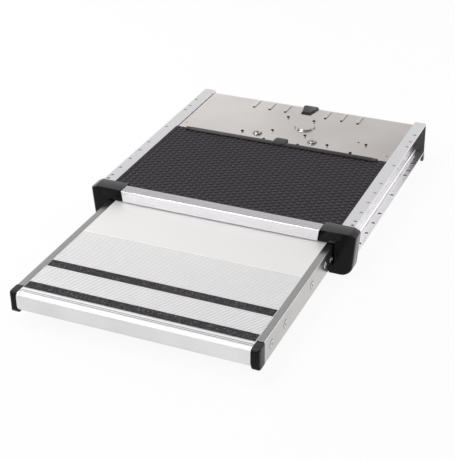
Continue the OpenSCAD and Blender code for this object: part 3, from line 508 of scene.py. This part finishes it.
def finishPiece(name, mesh, material, node):
    # Puts a mesh in the scene as a piece that rides, takes its slot and stands for a CAD node
    mesh.materials.clear()
    mesh.materials.append(material)
    piece = addObject(name, mesh)
    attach(piece, bodyOf[node])
    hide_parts(node)
    return piece


def roundedCopy(node, material, radius):
    # A copy of a CAD solid: doubles merged, flat faces joined, then its sharp edges rounded by the radius
    mesh = frame["nodes"][node].data.copy()
    shape = bmesh.new()
    shape.from_mesh(mesh)
    bmesh.ops.remove_doubles(shape, verts=shape.verts, dist=rounding["merge"])
    bmesh.ops.dissolve_limit(
        shape, angle_limit=math.radians(rounding["flat"]), verts=shape.verts, edges=shape.edges,
        delimit=set()
    )
    shape.to_mesh(mesh)
    shape.free()
    mesh.shade_smooth()
    mesh.set_sharp_from_angle(angle=math.radians(rounding["sharp"]))
    piece = finishPiece(node + "_finished", mesh, material, node)
    bevel = piece.modifiers.new("roundedEdges", "BEVEL")
    bevel.width = radius * mm
    bevel.segments = 4 if radius > rounding["large"] else 2
    bevel.limit_method = "ANGLE"
    bevel.angle_limit = math.radians(rounding["edge"])
    bevel.harden_normals = True


rounded = 0
for finish, nodes in nodeFinish.items():
    for node, radius in nodes.items():
        cadMesh = frame["nodes"][node].data
        cadMesh.materials.clear()
        cadMesh.materials.append(finishes[finish])
        if radius > 0:
            roundedCopy(node, finishes[finish], radius)
            rounded += 1
print("rounded the edges of", rounded, "nodes")


# Sheets worked out on grids
creaseAngle = 50  # degrees, edges over this shade sharp
leastGap = 0.12 * mm  # grid lines closer than this become one


def closedMesh(name, points, faces):
    # A smooth mesh of the points that its faces use, with sharp edges over the crease angle
    used, numbers = np.unique(np.concatenate([f.ravel() for f in faces]), return_inverse=True)
    ends = np.cumsum([f.size for f in faces])[:-1]
    rows = [part.reshape(f.shape).tolist() for part, f in zip(np.split(numbers, ends), faces)]
    mesh = bpy.data.meshes.new(name)
    mesh.from_pydata(points[used], [], [face for group in rows for face in group])
    mesh.validate()
    mesh.shade_smooth()
    mesh.set_sharp_from_angle(angle=math.radians(creaseAngle))
    return mesh


def gridQuads(shape):
    # The four corner numbers of every cell of a grid, anticlockwise seen from above
    number = np.arange(shape[0] * shape[1]).reshape(shape)
    return np.stack([number[:-1, :-1], number[:-1, 1:], number[1:, 1:], number[1:, :-1]], -1)


def sheetMesh(name, upper, lower, keep):
    # Two grids of points, an upper and a lower one, joined by walls round the edge of the kept cells
    count = upper.shape[0] * upper.shape[1]
    quads = gridQuads(upper.shape[:2])[keep]
    sides = np.concatenate([quads[:, [0, 1]], quads[:, [1, 2]], quads[:, [2, 3]], quads[:, [3, 0]]])
    key = np.sort(sides, axis=1) @ np.array([count, 1])
    found, times = np.unique(key, return_counts=True)
    rim = sides[np.isin(key, found[times == 1])]
    walls = np.stack([rim[:, 1], rim[:, 0], rim[:, 0] + count, rim[:, 1] + count], -1)
    points = np.concatenate([upper.reshape(-1, 3), lower.reshape(-1, 3)])
    return closedMesh(name, points, [quads, quads[:, ::-1] + count, walls])


def lineUp(low, high, coarse, zones):
    # Grid lines at a coarse spacing, and at each zone's own spacing between its two ends
    lines = np.linspace(low, high, int(round((high - low) / coarse)) + 1)
    for start, end, spacing in zones:
        start, end = max(start, low), min(end, high)
        lines = lines[(lines < start) | (lines > end)]
        lines = np.concatenate([lines, np.linspace(start, end, int(round((end - start) / spacing)) + 1)])
    lines = np.unique(np.concatenate([lines, [low, high]]))
    lines = lines[np.concatenate([[True], np.diff(lines) > leastGap])]
    lines[-1] = high
    return lines


def smoothStep(t):
    # Rises from 0 to 1 with level ends: three t squared less two t cubed
    t = np.clip(t, 0, 1)
    return t * t * (3 - 2 * t)


# Front cover plate with round raised studs in a nearly hexagonal pattern, measured in the photo
plate = {
    "repeatX": 20.3 * mm,
    "repeatY": 11.42 * mm,
    "phase": (10.91 * mm, 8.43 * mm),  # a stud's place across, and behind the beam's front face
    "studRadius": 5.1 * mm,
    "studSide": 0.34,  # share of the radius that slopes
    "spacing": (1.25 * mm, 0.95 * mm),
    "notchX": 173 * mm,  # half width between the corner caps
    "capGap": 0.2 * mm,
    "margin": 3 * mm,  # the studs rise over this distance from the edges, so that none is cut off
}


def studHeights(x, y, setup):
    # On each of two staggered lattices a stud is level inside, and falls smoothly over its sloping side
    height = np.zeros_like(x)
    for shift in (0.0, 0.5):
        across = (x - setup["phase"][0]) / setup["repeatX"] - shift
        deep = (y - beamFront - setup["phase"][1]) / setup["repeatY"] - shift
        dx = (across - np.round(across)) * setup["repeatX"]
        dy = (deep - np.round(deep)) * setup["repeatY"]
        share = np.hypot(dx, dy) / setup["studRadius"]
        height += studHeight * smoothStep((1 - share) / setup["studSide"])
    return height


def makePlate(setup):
    # Upper grid with the studs, walls down along its notched outline, and one flat face underneath
    low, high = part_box("top_plate")
    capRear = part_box("beam_cap_right")[1].y + setup["capGap"]
    notch = setup["notchX"]
    wide, deep = setup["spacing"]
    x = lineUp(low.x, high.x, wide, [(low.x, -notch, wide), (-notch, notch, wide), (notch, high.x, wide)])
    y = lineUp(low.y, high.y, deep, [(low.y, capRear, deep), (capRear, high.y, deep)])
    gx, gy = np.meshgrid(x, y)
    inset = np.minimum(np.minimum(gx - low.x, high.x - gx), np.minimum(gy - low.y, high.y - gy))
    raised = studHeights(gx, gy, setup) * smoothStep(inset / setup["margin"])
    upper = np.stack([gx, gy, high.z + raised], -1).reshape(-1, 3)
    middleX, middleY = np.meshgrid((x[1:] + x[:-1]) / 2, (y[1:] + y[:-1]) / 2)
    quads = gridQuads(gx.shape)[(np.abs(middleX) < notch) | (middleY > capRear)]
    number = np.arange(gx.size).reshape(gx.shape)
    left, right = np.argmin(np.abs(x + notch)), np.argmin(np.abs(x - notch))
    step = np.argmin(np.abs(y - capRear))
    # Once round the outline, anticlockwise, and each stretch without its last point
    outline = np.concatenate([
        number[0, left:right], number[:step, right], number[step, right:-1], number[step:-1, -1],
        number[-1, :0:-1], number[-1:step:-1, 0], number[step, :left], number[step:0:-1, left],
    ])
    under = upper[outline].copy()
    under[:, 2] = low.z
    below = np.arange(len(outline)) + len(upper)
    after = np.roll(np.arange(len(outline)), -1)
    walls = np.stack([outline[after], outline, below, below[after]], -1)
    points = np.concatenate([upper, under])
    mesh = closedMesh("embossedPlate", points, [quads, walls, below[None, ::-1]])
    finishPiece("embossedPlate", mesh, finishes["powderCoatedSheet"], "top_plate")


makePlate(plate)
print("plate made")


# Rear pan: a pressed steel sheet. Places are across from the middle and forward from the pan's rear edge
pan = {
    "sheet": 1.2 * mm,
    "bend": 1.6 * mm,  # radius of the fold along the rear edge
    "bendSteps": 5,
    "rearEase": 2 * mm,  # the pressings fade out over this distance before the fold
    "lipInset": 5 * mm,
    "lipDepth": 9.5 * mm,
    "dome": {"radius": 21 * mm, "height": 3.2 * mm, "shoulder": 4.6 * mm},
    "ribs": {
        "across": (40.5, 72.5, 104.5), "length": 38 * mm, "half": 3.4 * mm, "height": 1.4 * mm,
        "side": 0.4,  # share of the half width that slopes
    },
    "rings": {
        "across": 53.6 * mm, "forward": 144.5 * mm,
        "radius": 7.2 * mm, "half": 2.4 * mm, "height": 2.6 * mm,
    },
    # (across, forward, radius) in millimetres
    "holes": (
        (131.4, 113.3, 2.0), (147.6, 121.4, 2.6), (195.3, 149.0, 1.4), (-195.3, 149.0, 1.4),
        (40.5, 38.2, 2.1), (72.5, 38.2, 2.1), (104.5, 38.2, 2.1),
        (-40.5, 38.2, 2.1), (-72.5, 38.2, 2.1), (-104.5, 38.2, 2.1),
    ),
    # Grid spacing, and how far the finer grid reaches past each kind of pressing
    "coarse": 5 * mm,
    "fine": {"dome": 0.85 * mm, "rings": 0.9 * mm, "ribs": 0.75 * mm, "holes": 0.45 * mm, "lip": 2.5 * mm},
    "past": {"dome": 1.5 * mm, "rings": 1 * mm, "holes": 0.8 * mm},
    "ribZone": (3.8 * mm, 1 * mm, 5 * mm),  # to each side of a rib, before its front end and behind it
}


def pressedHeights(x, y, centre, rear, setup):
    # Dome: level, then a smooth shoulder. Rib: level between two smooth sides, with a round front end.
    # Ring: (1 - w squared) squared, w the distance from its circle as a share of its half width
    dome, ribs, rings = setup["dome"], setup["ribs"], setup["rings"]
    inward = dome["radius"] - np.hypot(x - centre[0], y - centre[1])
    height = dome["height"] * smoothStep(inward / dome["shoulder"])
    for side in (-1, 1):
        for across in ribs["across"]:
            ahead = np.maximum(rear - ribs["length"] + ribs["half"] - y, 0)
            share = np.hypot(x - side * across * mm, ahead) / ribs["half"]
            height = np.maximum(height, ribs["height"] * smoothStep((1 - share) / ribs["side"]))
        away = np.hypot(x - side * rings["across"], y - rear + rings["forward"])
        share = (away - rings["radius"]) / rings["half"]
        height = np.maximum(height, rings["height"] * np.clip(1 - share ** 2, 0, 1) ** 2)
    return height


def roundHoles(gx, gy, rear, holes):
    # Cells inside a hole go, and the points on its stepped edge move out or in to its circle
    middleX = (gx[:-1, :-1] + gx[:-1, 1:]) / 2
    middleY = (gy[:-1, :-1] + gy[1:, :-1]) / 2
    keep = np.ones(middleX.shape, bool)
    tiny = 0.01 * mm
    for across, forward, radius in holes:
        cx, cy = across * mm, rear - forward * mm
        inside = np.hypot(middleX - cx, middleY - cy) < radius * mm
        keep &= ~inside
        ringed = np.pad(inside, 1).astype(int)
        around = ringed[:-1, :-1] + ringed[:-1, 1:] + ringed[1:, :-1] + ringed[1:, 1:]
        edge = (around > 0) & (around < 4)
        away = np.hypot(gx - cx, gy - cy)
        pull = np.where(edge, radius * mm / np.maximum(away, tiny), 1.0)
        gx, gy = cx + (gx - cx) * pull, cy + (gy - cy) * pull
    return gx, gy, keep


def panLines(low, high, centre, setup):
    # Grid lines across and along the flat sheet, finer over the dome, rings, ribs, holes and lip corners
    rear, fine, past = high.y, setup["fine"], setup["past"]
    ribs, rings, inset = setup["ribs"], setup["rings"], setup["lipInset"]
    reach = setup["dome"]["radius"] + past["dome"]
    zonesX, zonesY = [[(middle - reach, middle + reach, fine["dome"])] for middle in centre]
    reach = rings["radius"] + rings["half"] + past["rings"]
    for middle in (-rings["across"], rings["across"]):
        zonesX.append((middle - reach, middle + reach, fine["rings"]))
    middle = rear - rings["forward"]
    zonesY.append((middle - reach, middle + reach, fine["rings"]))
    beside, before, behind = setup["ribZone"]
    for middle in [side * across * mm for side in (-1, 1) for across in ribs["across"]]:
        zonesX.append((middle - beside, middle + beside, fine["ribs"]))
    front = rear - ribs["length"]
    zonesY.append((front - before, front + behind, fine["ribs"]))
    for across, forward, radius in np.array(setup["holes"]) * mm:
        reach = radius + past["holes"]
        zonesX.append((across - reach, across + reach, fine["holes"]))
        zonesY.append((rear - forward - reach, rear - forward + reach, fine["holes"]))
    zonesX += [(high.x - inset, high.x, fine["lip"]), (low.x, low.x + inset, fine["lip"])]
    x = lineUp(low.x, high.x, setup["coarse"], zonesX)
    y = lineUp(low.y, rear - setup["bend"], setup["coarse"], zonesY)
    return x, y


def makePan(setup):
    low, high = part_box("rear_pan")
    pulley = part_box("drive_pulley")
    centre = ((pulley[0].x + pulley[1].x) / 2, (pulley[0].y + pulley[1].y) / 2)
    rear, bend, sheet, steps = high.y, setup["bend"], setup["sheet"], setup["bendSteps"]
    x, y = panLines(low, high, centre, setup)
    gx, gy = np.meshgrid(x, y)
    fade = smoothStep((rear - bend - gy) / setup["rearEase"])
    height = pressedHeights(gx, gy, centre, rear, setup) * fade
    gx, gy, keep = roundHoles(gx, gy, rear, setup["holes"])
    upper = np.stack([gx, gy, plateTop + height], -1)
    lower = upper - [0, 0, sheet]
    # The fold: a quarter turn about an axis inside the bend, then straight down to the foot of the lip
    turn = np.linspace(0, math.pi / 2, steps + 1)[1:, None] * np.ones(len(x))
    across = np.ones((steps, 1)) * x
    skins = []
    for skin, depth in ((upper, 0), (lower, sheet)):
        radius = bend - depth
        fold = [across, rear - bend + radius * np.sin(turn), plateTop - bend + radius * np.cos(turn)]
        foot = [x, np.full_like(x, rear - depth), np.full_like(x, plateTop - setup["lipDepth"])]
        skins.append(np.concatenate([skin, np.stack(fold, -1), np.stack(foot, -1)[None]]))
    lip = np.abs((x[1:] + x[:-1]) / 2) < high.x - setup["lipInset"]
    keep = np.concatenate([keep, np.tile(lip, (steps + 1, 1))])
    mesh = sheetMesh("pressedPan", skins[0], skins[1], keep)
    finishPiece("pressedPan", mesh, finishes["rolledStainlessSteel"], "rear_pan")


makePan(pan)
print("pan made")


# Pieces whose skin runs through rings of points
def ringMesh(name, rows):
    # rows holds bodies, rings, points and coordinates: quads join the rings, a face closes each end
    number = np.arange(rows.size // 3).reshape(rows.shape[:3])
    after = np.roll(number, -1, axis=2)
    sides = np.stack([number[:, :-1], after[:, :-1], after[:, 1:], number[:, 1:]], -1).reshape(-1, 4)
    return closedMesh(name, rows.reshape(-1, 3), [sides, number[:, 0, ::-1], number[:, -1]])


# Round-topped bar over the joint of plate and pan
bar = {
    "half": 185 * mm, "width": 13.6 * mm, "height": 3.3 * mm, "overlap": 1.6 * mm,
    "front": 2.2 * mm,  # height of its upright sides
    "arc": 25,  # points along the round top
    "footInset": 0.5 * mm,
    "footGap": 0.02 * mm,
    # Sections of an end: (millimetres from the end, share of the full section)
    "ends": ((0, 0.84), (0.5, 0.92), (8, 0.92), (8.6, 0.84), (9.2, 1.0)),
}


def makeBar(setup):
    # An ellipse's upper half over upright sides, carried along X, and drawn in a little at both ends
    half, width, foot = setup["half"], setup["width"], setup["front"]
    t = np.linspace(0, math.pi, setup["arc"])
    inner = width / 2 - setup["footInset"]
    y = np.concatenate([width / 2 * np.cos(t), [-inner, inner]])
    z = np.concatenate([foot + (setup["height"] - foot) * np.sin(t), [setup["footGap"]] * 2])
    along, size = np.array(setup["ends"]).T
    x = -half + along * mm
    x, size = np.concatenate([x, -x[::-1]]), np.concatenate([size, size[::-1]])
    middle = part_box("rear_pan")[0].y + setup["overlap"] - width / 2
    rows = np.stack([x[:, None] + 0 * y, middle + size[:, None] * y, plateTop + size[:, None] * z], -1)
    finishPiece("jointBar", ringMesh("jointBar", rows[None]), finishes["filledPolyamide"], "plate_bar")


# Clip that hooks over the bar
clip = {
    "front": 27 * mm, "rear": 24.5 * mm, "depth": 27 * mm, "height": 4.25 * mm,
    "lap": 0.6 * mm,  # how far behind the solid bar's front it starts
    "points": 64,
    "ease": 0.26,  # exponent of its rounded square outline
    # Rings from the foot to the top: (share of the height, share of the full outline)
    "rings": ((0.03, 1.0), (0.62, 0.985), (0.84, 0.955), (0.95, 0.90), (1.0, 0.83)),
}


def makeClip(setup):
    # Superellipse rings that shrink as they rise, wide in front over the bar and narrower behind
    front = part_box("plate_bar")[0].y + setup["lap"]
    t = np.linspace(0, 2 * math.pi, setup["points"], endpoint=False)
    side = np.sign(np.cos(t)) * np.abs(np.cos(t)) ** setup["ease"]
    along = np.sign(np.sin(t)) * np.abs(np.sin(t)) ** setup["ease"]
    share = (along + 1) / 2  # 0 in front, 1 behind
    halfWidth = (setup["front"] * (1 - share) + setup["rear"] * share) / 2
    rise, size = np.array(setup["rings"]).T[:, :, None]
    rows = np.stack([
        size * halfWidth * side, front + setup["depth"] * (1 + size * along) / 2,
        plateTop + rise * setup["height"] + 0 * share,
    ], -1)
    mesh = ringMesh("hookClip", rows[None])
    finishPiece("hookClip", mesh, finishes["mouldedPolyamide"], "pan_clip_front")


makeBar(bar)
makeClip(clip)
print("bar and clip made")


# Corner caps: one outline in X and Z, carried from front to rear. Each corner has its place in
# millimetres, how far it follows the side's large front rounding, the direction of the small rounding,
# and its own corner radius
corner = {
    "side": 6.5 * mm,
    "soft": 0.9 * mm,
    "tail": 0.8 * mm,  # the rear edge draws in by this much
    "outline": np.array([
        (176.6, 74.8, 0, 0, -1, 0.2), (226.0, 74.8, 1, 0, -1, 1.6), (235.5, 69.8, 1, 0, -1, 2.4),
        (234.4, 54.4, 1, 0, 0, 5.0), (230.5, 8.0, 1, 0, 0, 6.0), (222.5, 0.0, 1, 0, 1, 5.0),
        (194.0, 0.0, 0, 0, 1, 0.6), (193.0, 2.0, 0, 1, 0, 0.6), (193.0, 15.7, 0, 1, -1, 0.6),
        (201.5, 15.7, 0, 1, -1, 0.6), (201.5, 54.4, 0, 1, 1, 0.6), (173.6, 54.4, 0, 0, 1, 0.2),
    ]),
    "depths": (0, 0.12, 0.4, 0.9, 1.5, 2.4, 3.6, 5, 6.5),  # rings behind the front face, in millimetres
    # Rings before the rear edge: (distance in millimetres, share of the tail)
    "tailRings": ((0.8, 0), (0.25, 0.25), (0, 1)),
    "arc": 7,  # points round each corner
    "most": 0.45,  # a corner takes no more than this share of the sides beside it
}


def quarterInset(depth, radius):
    # How far a quarter round of this radius lies inside its outer line: r - root(r2 - (r - d)2) at depth d
    rest = np.clip(radius - depth, 0, radius)
    return radius - np.sqrt(radius ** 2 - rest ** 2)


def makeCornerCap(node, side, setup):
    low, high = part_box(node)
    x, z, leans, inX, inZ, radius = setup["outline"].T
    before, share = np.array(setup["tailRings"]).T
    depth = np.concatenate([np.array(setup["depths"]) * mm, high.y - low.y - before * mm])
    tail = np.concatenate([np.zeros(len(setup["depths"])), share * setup["tail"]])
    large = (quarterInset(depth, setup["side"]) + tail)[:, None]
    small = (quarterInset(depth, setup["soft"]) + tail)[:, None]
    points = np.stack([x * mm - large * leans + small * inX, z * mm + small * inZ], -1)
    # Corners rounded by a parabola between two points beside them: (1-t)2 a + 2t(1-t) corner + t2 b
    reach = []
    for step in (1, -1):
        edge = np.roll(points, step, axis=1) - points
        part = np.minimum(radius * mm / np.linalg.norm(edge, axis=-1), setup["most"])
        reach.append(part[..., None, None] * edge[..., None, :])
    t = np.linspace(0, 1, setup["arc"])[:, None]
    arcs = points[..., None, :] + (1 - t) ** 2 * reach[0] + t ** 2 * reach[1]
    outline = arcs.reshape(len(depth), -1, 2)
    y = low.y + depth[:, None] + 0 * outline[..., 0]
    rows = np.stack([side * outline[..., 0], y, outline[..., 1]], -1)[:, ::side]
    finishPiece(node + "_moulding", ringMesh(node, rows[None]), finishes["mouldedPolyamide"], node)


for node, side in (("beam_cap_left", -1), ("beam_cap_right", 1)):
    makeCornerCap(node, side, corner)
print("corner caps made")


# Turned screw heads: (radius, height) in millimetres from the outer foot to the middle. A dark core under a
# bright head is painted shade: it shows as a dark rim round the head and as a dark recess in its middle.
# The cap screws are dark alone
heads = {
    "side_screws": {
        "bright": [(6.3, -0.5), (6.3, 0.3), (5.8, 0.6), (3.6, 0.85), (2.6, 0.85), (2.4, 0.3), (0.02, 0.3)],
        "dark": [(7.0, -0.5), (7.0, 0.12), (2.35, 0.13), (2.3, 0.4), (0.02, 0.4)],
    },
    "pan_screws": {
        "bright": [(4.1, -0.5), (4.1, 0.4), (3.7, 0.7), (0.02, 0.71)],
        "dark": [(3.0, 0.0), (2.95, 1.5), (2.4, 2.3), (1.4, 2.7), (0.02, 2.75)],
    },
    "pan_bolts": {
        "bright": [(5.3, -0.5), (5.3, 2.2), (4.9, 2.8), (3.5, 2.9), (3.2, 2.2), (0.02, 2.2)],
        "dark": [(6.0, -0.5), (6.0, 0.9), (3.1, 1.0), (3.1, 2.35), (0.02, 2.36)],
    },
    "cap_screws": {
        "dark": [(3.4, -0.5), (3.4, 0.15), (3.1, 0.45), (1.6, 0.5), (1.4, -0.4), (0.02, -0.4)],
    },
}
headPoints = 40  # round each head
# Places on both halves, in millimetres
headPlaces = {
    "side_screws": ((51, 17.5), (105, 17.5), (218, 17.5), (279, 20.0), (306, 14.5)),  # behind nose, up
    "cap_screws": ((208, 65),),  # across, up
    "pan_bolts": ((53.6, 144.5),),  # across, forward from the pan's rear edge
    "pan_screws": ((25.8, 58), (32, 124), (82.8, 147), (33, 165.5)),
}
loneScrews = ((147.5, 120), (131.7, 162))  # two more pan screws on the right half alone


def placesOf(node):
    # Each head's foot and the direction that it looks in
    spots = headPlaces[node]
    if node == "side_screws":
        nose, (low, high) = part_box("nose_profile")[0].y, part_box("side_profile_right")
        return [((s * high.x, nose + y * mm, low.z + z * mm), (s, 0, 0)) for s in (-1, 1) for y, z in spots]
    if node == "cap_screws":
        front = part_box("beam_cap_right")[0].y
        return [((s * x * mm, front, z * mm), (0, -1, 0)) for s in (-1, 1) for x, z in spots]
    spots = [(s * x, forward) for s in (-1, 1) for x, forward in spots]
    if node == "pan_screws":
        spots += loneScrews
    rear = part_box("rear_pan")[1].y
    return [((x * mm, rear - forward * mm, plateTop), (0, 0, 1)) for x, forward in spots]


def makeHeads(node, setup):
    # Each profile is turned about the head's own axis, and the axis is then turned to look outwards
    t = np.linspace(0, 2 * math.pi, headPoints, endpoint=False)
    for tone, profile in setup.items():
        radius, height = (np.array(profile) * mm).T
        rows = np.stack([
            radius[:, None] * np.cos(t), radius[:, None] * np.sin(t), height[:, None] + 0 * t
        ], -1)
        bodies = [
            rows @ np.array(Vector(way).to_track_quat("Z", "Y").to_matrix()).T + np.array(foot)
            for foot, way in placesOf(node)
        ]
        # A dark piece under a bright head is painted shade round it and in its recess
        finish = finishes["zincPlatedScrew" if tone == "bright" else "blackOxideAndPaintedShade"]
        finishPiece(node + "_" + tone, ringMesh(node, np.array(bodies)), finish, node)


for node, setup in heads.items():
    makeHeads(node, setup)
print("screw heads made")


# Grip strips: grit that stands up unevenly, thinning out at slightly ragged edges
grip = {"spacing": 0.7 * mm, "grit": 0.22 * mm, "ragged": 0.2 * mm, "seed": 41}


def makeGrip(node, setup, seed):
    # Each point is lifted by a random share of the grit height, and the long edges wander at random
    low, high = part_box(node)
    x = lineUp(low.x, high.x, setup["spacing"], [])
    y = lineUp(low.y, high.y, setup["spacing"], [])
    gx, gy = np.meshgrid(x, y)
    random = np.random.default_rng(seed)
    wander = random.uniform(0, setup["ragged"], (2, len(x)))
    gy[0] += wander[0]
    gy[-1] -= wander[1]
    height = high.z - random.uniform(0, setup["grit"], gx.shape)
    upper = np.stack([gx, gy, height], -1)
    lower = np.stack([gx, gy, np.full_like(gx, low.z)], -1)
    mesh = sheetMesh(node + "_grit", upper, lower, np.ones((len(y) - 1, len(x) - 1), bool))
    finishPiece(node + "_grit", mesh, finishes["mineralGritTape"], node)


for order, node in enumerate(("grip_strip_front", "grip_strip_rear")):
    makeGrip(node, grip, grip["seed"] + order)
print("grip strips made")


# Studio: a pale floor, a white surround and soft lamps
studio = {
    "white": "#ffffff",
    "floorHalf": 4.0,
    "floorColour": "#f4f4f4",
    "floorShare": 0.92,  # how much of the floor's look is plain white, the rest takes the shadow
    "shade": 25 * mm,  # how softly the fully matt floor under the cassette begins
    "worldStrength": 0.5,
    "zenith": 0.45,  # the surround is white at the horizon, and this grey straight above
    "lamps": {
        # name: (direction to the lamp, distance, size, watts)
        "front": ((-0.35, -0.65, 0.67), 2.4, 0.4, 7),
        "left": ((-0.92, 0.12, 0.38), 1.7, 0.9, 11),
        "rearRight": ((0.70, 0.58, 0.42), 2.6, 1.3, 12),
        "overhead": ((-0.33, -0.02, 0.94), 2.6, 0.75, 16),
    },
    "aim": (0.0, 0.0, 0.05),
}


def seenByLens(tree, kinds):
    # 1 for the rays that show a background, to the camera or in a reflection, and 0 for all others
    path = addNode(tree, "LightPath", {}, {})
    seen = path[kinds[0]]
    for kind in kinds[1:]:
        seen = addNode(tree, "Math", {"operation": "MAXIMUM"}, {0: seen, 1: path[kind]})[0]
    return seen


def makeWorld(setup):
    # Camera, glossy and clear rays see white that greys smoothly towards the zenith, and every other ray
    # sees the weaker, even world light
    world = bpy.data.worlds.new("studioWorld")
    world.use_nodes = True
    scene.world = world
    tree = world.node_tree
    seen = seenByLens(tree, ("Is Camera Ray", "Is Glossy Ray", "Is Transmission Ray"))
    direction = addNode(tree, "TexCoord", {}, {})["Generated"]
    height = addNode(tree, "SeparateXYZ", {}, {0: direction})["Z"]
    fade = {"interpolation_type": "SMOOTHSTEP", "To Min": 1.0, "To Max": setup["zenith"]}
    shade = addNode(tree, "MapRange", fade, {"Value": height})[0]
    even = {"To Min": setup["worldStrength"]}
    strength = addNode(tree, "MapRange", even, {"Value": seen, "To Max": shade})
    tree.links.new(strength["Result"], tree.nodes["Background"].inputs["Strength"])
    tree.nodes["Background"].inputs["Color"].default_value = linearColour(setup["white"])


def outsideCassette(tree, setup):
    # 0 under the cassette, where the matt floor stays dark behind the holes and gaps, and 1 beside it
    low, high = cassetteBox
    middle = ((low.x + high.x) / 2, (low.y + high.y) / 2, 0)
    place = addNode(tree, "TexCoord", {}, {})["Object"]
    offset = addNode(tree, "VectorMath", {"operation": "SUBTRACT", 1: middle}, {0: place})
    away = addNode(tree, "VectorMath", {"operation": "ABSOLUTE"}, {0: offset[0]})
    away = addNode(tree, "SeparateXYZ", {}, {0: away[0]})
    edges = []
    for axis, reach in (("X", webHalf), ("Y", (high.y - low.y) / 2)):
        soft = {"From Min": reach - setup["shade"], "From Max": reach}
        edges.append(addNode(tree, "MapRange", soft, {"Value": away[axis]})["Result"])
    return addNode(tree, "Math", {"operation": "MAXIMUM"}, {0: edges[0], 1: edges[1]})[0]


def makeFloor(setup):
    # A square plane that is mostly plain white to the camera and to gloss, and else takes light and shadow
    half = setup["floorHalf"]
    square = [(-half, -half, 0), (half, -half, 0), (half, half, 0), (-half, half, 0)]
    mesh = bpy.data.meshes.new("studioFloor")
    mesh.from_pydata(square, [], [(0, 1, 2, 3)])
    floor = addObject("studioFloor", mesh)
    material = bpy.data.materials.new("paperSweep")
    material.use_nodes = True
    tree = material.node_tree
    tree.nodes.clear()
    seen = seenByLens(tree, ("Is Camera Ray", "Is Glossy Ray"))
    part = {"operation": "MULTIPLY", 1: setup["floorShare"]}
    plain = addNode(tree, "Math", part, {0: outsideCassette(tree, setup)})[0]
    share = addNode(tree, "Math", {"operation": "MULTIPLY"}, {0: seen, 1: plain})[0]
    matt = addNode(tree, "BsdfDiffuse", {"Color": linearColour(setup["floorColour"])}, {})
    white = addNode(tree, "Emission", {"Color": linearColour(setup["white"]), "Strength": 1.0}, {})
    both = {0: share, 1: matt["BSDF"], 2: white["Emission"]}
    mix = addNode(tree, "MixShader", {}, both)
    addNode(tree, "OutputMaterial", {"is_active_output": True}, {"Surface": mix["Shader"]})
    mesh.materials.append(material)


def makeLamps(setup):
    # Each soft square lamp stands off along its direction and faces the object
    for name, (direction, distance, size, watts) in setup["lamps"].items():
        data = bpy.data.lights.new(name, "AREA")
        data.size = size
        data.energy = watts
        lamp = addObject(name, data)
        toLamp = Vector(direction).normalized()
        lamp.location = Vector(setup["aim"]) + toLamp * distance
        lamp.rotation_euler = toLamp.to_track_quat("Z", "Y").to_euler()


makeWorld(studio)
makeFloor(studio)
makeLamps(studio)
print("studio made")

bpy.context.view_layer.update()
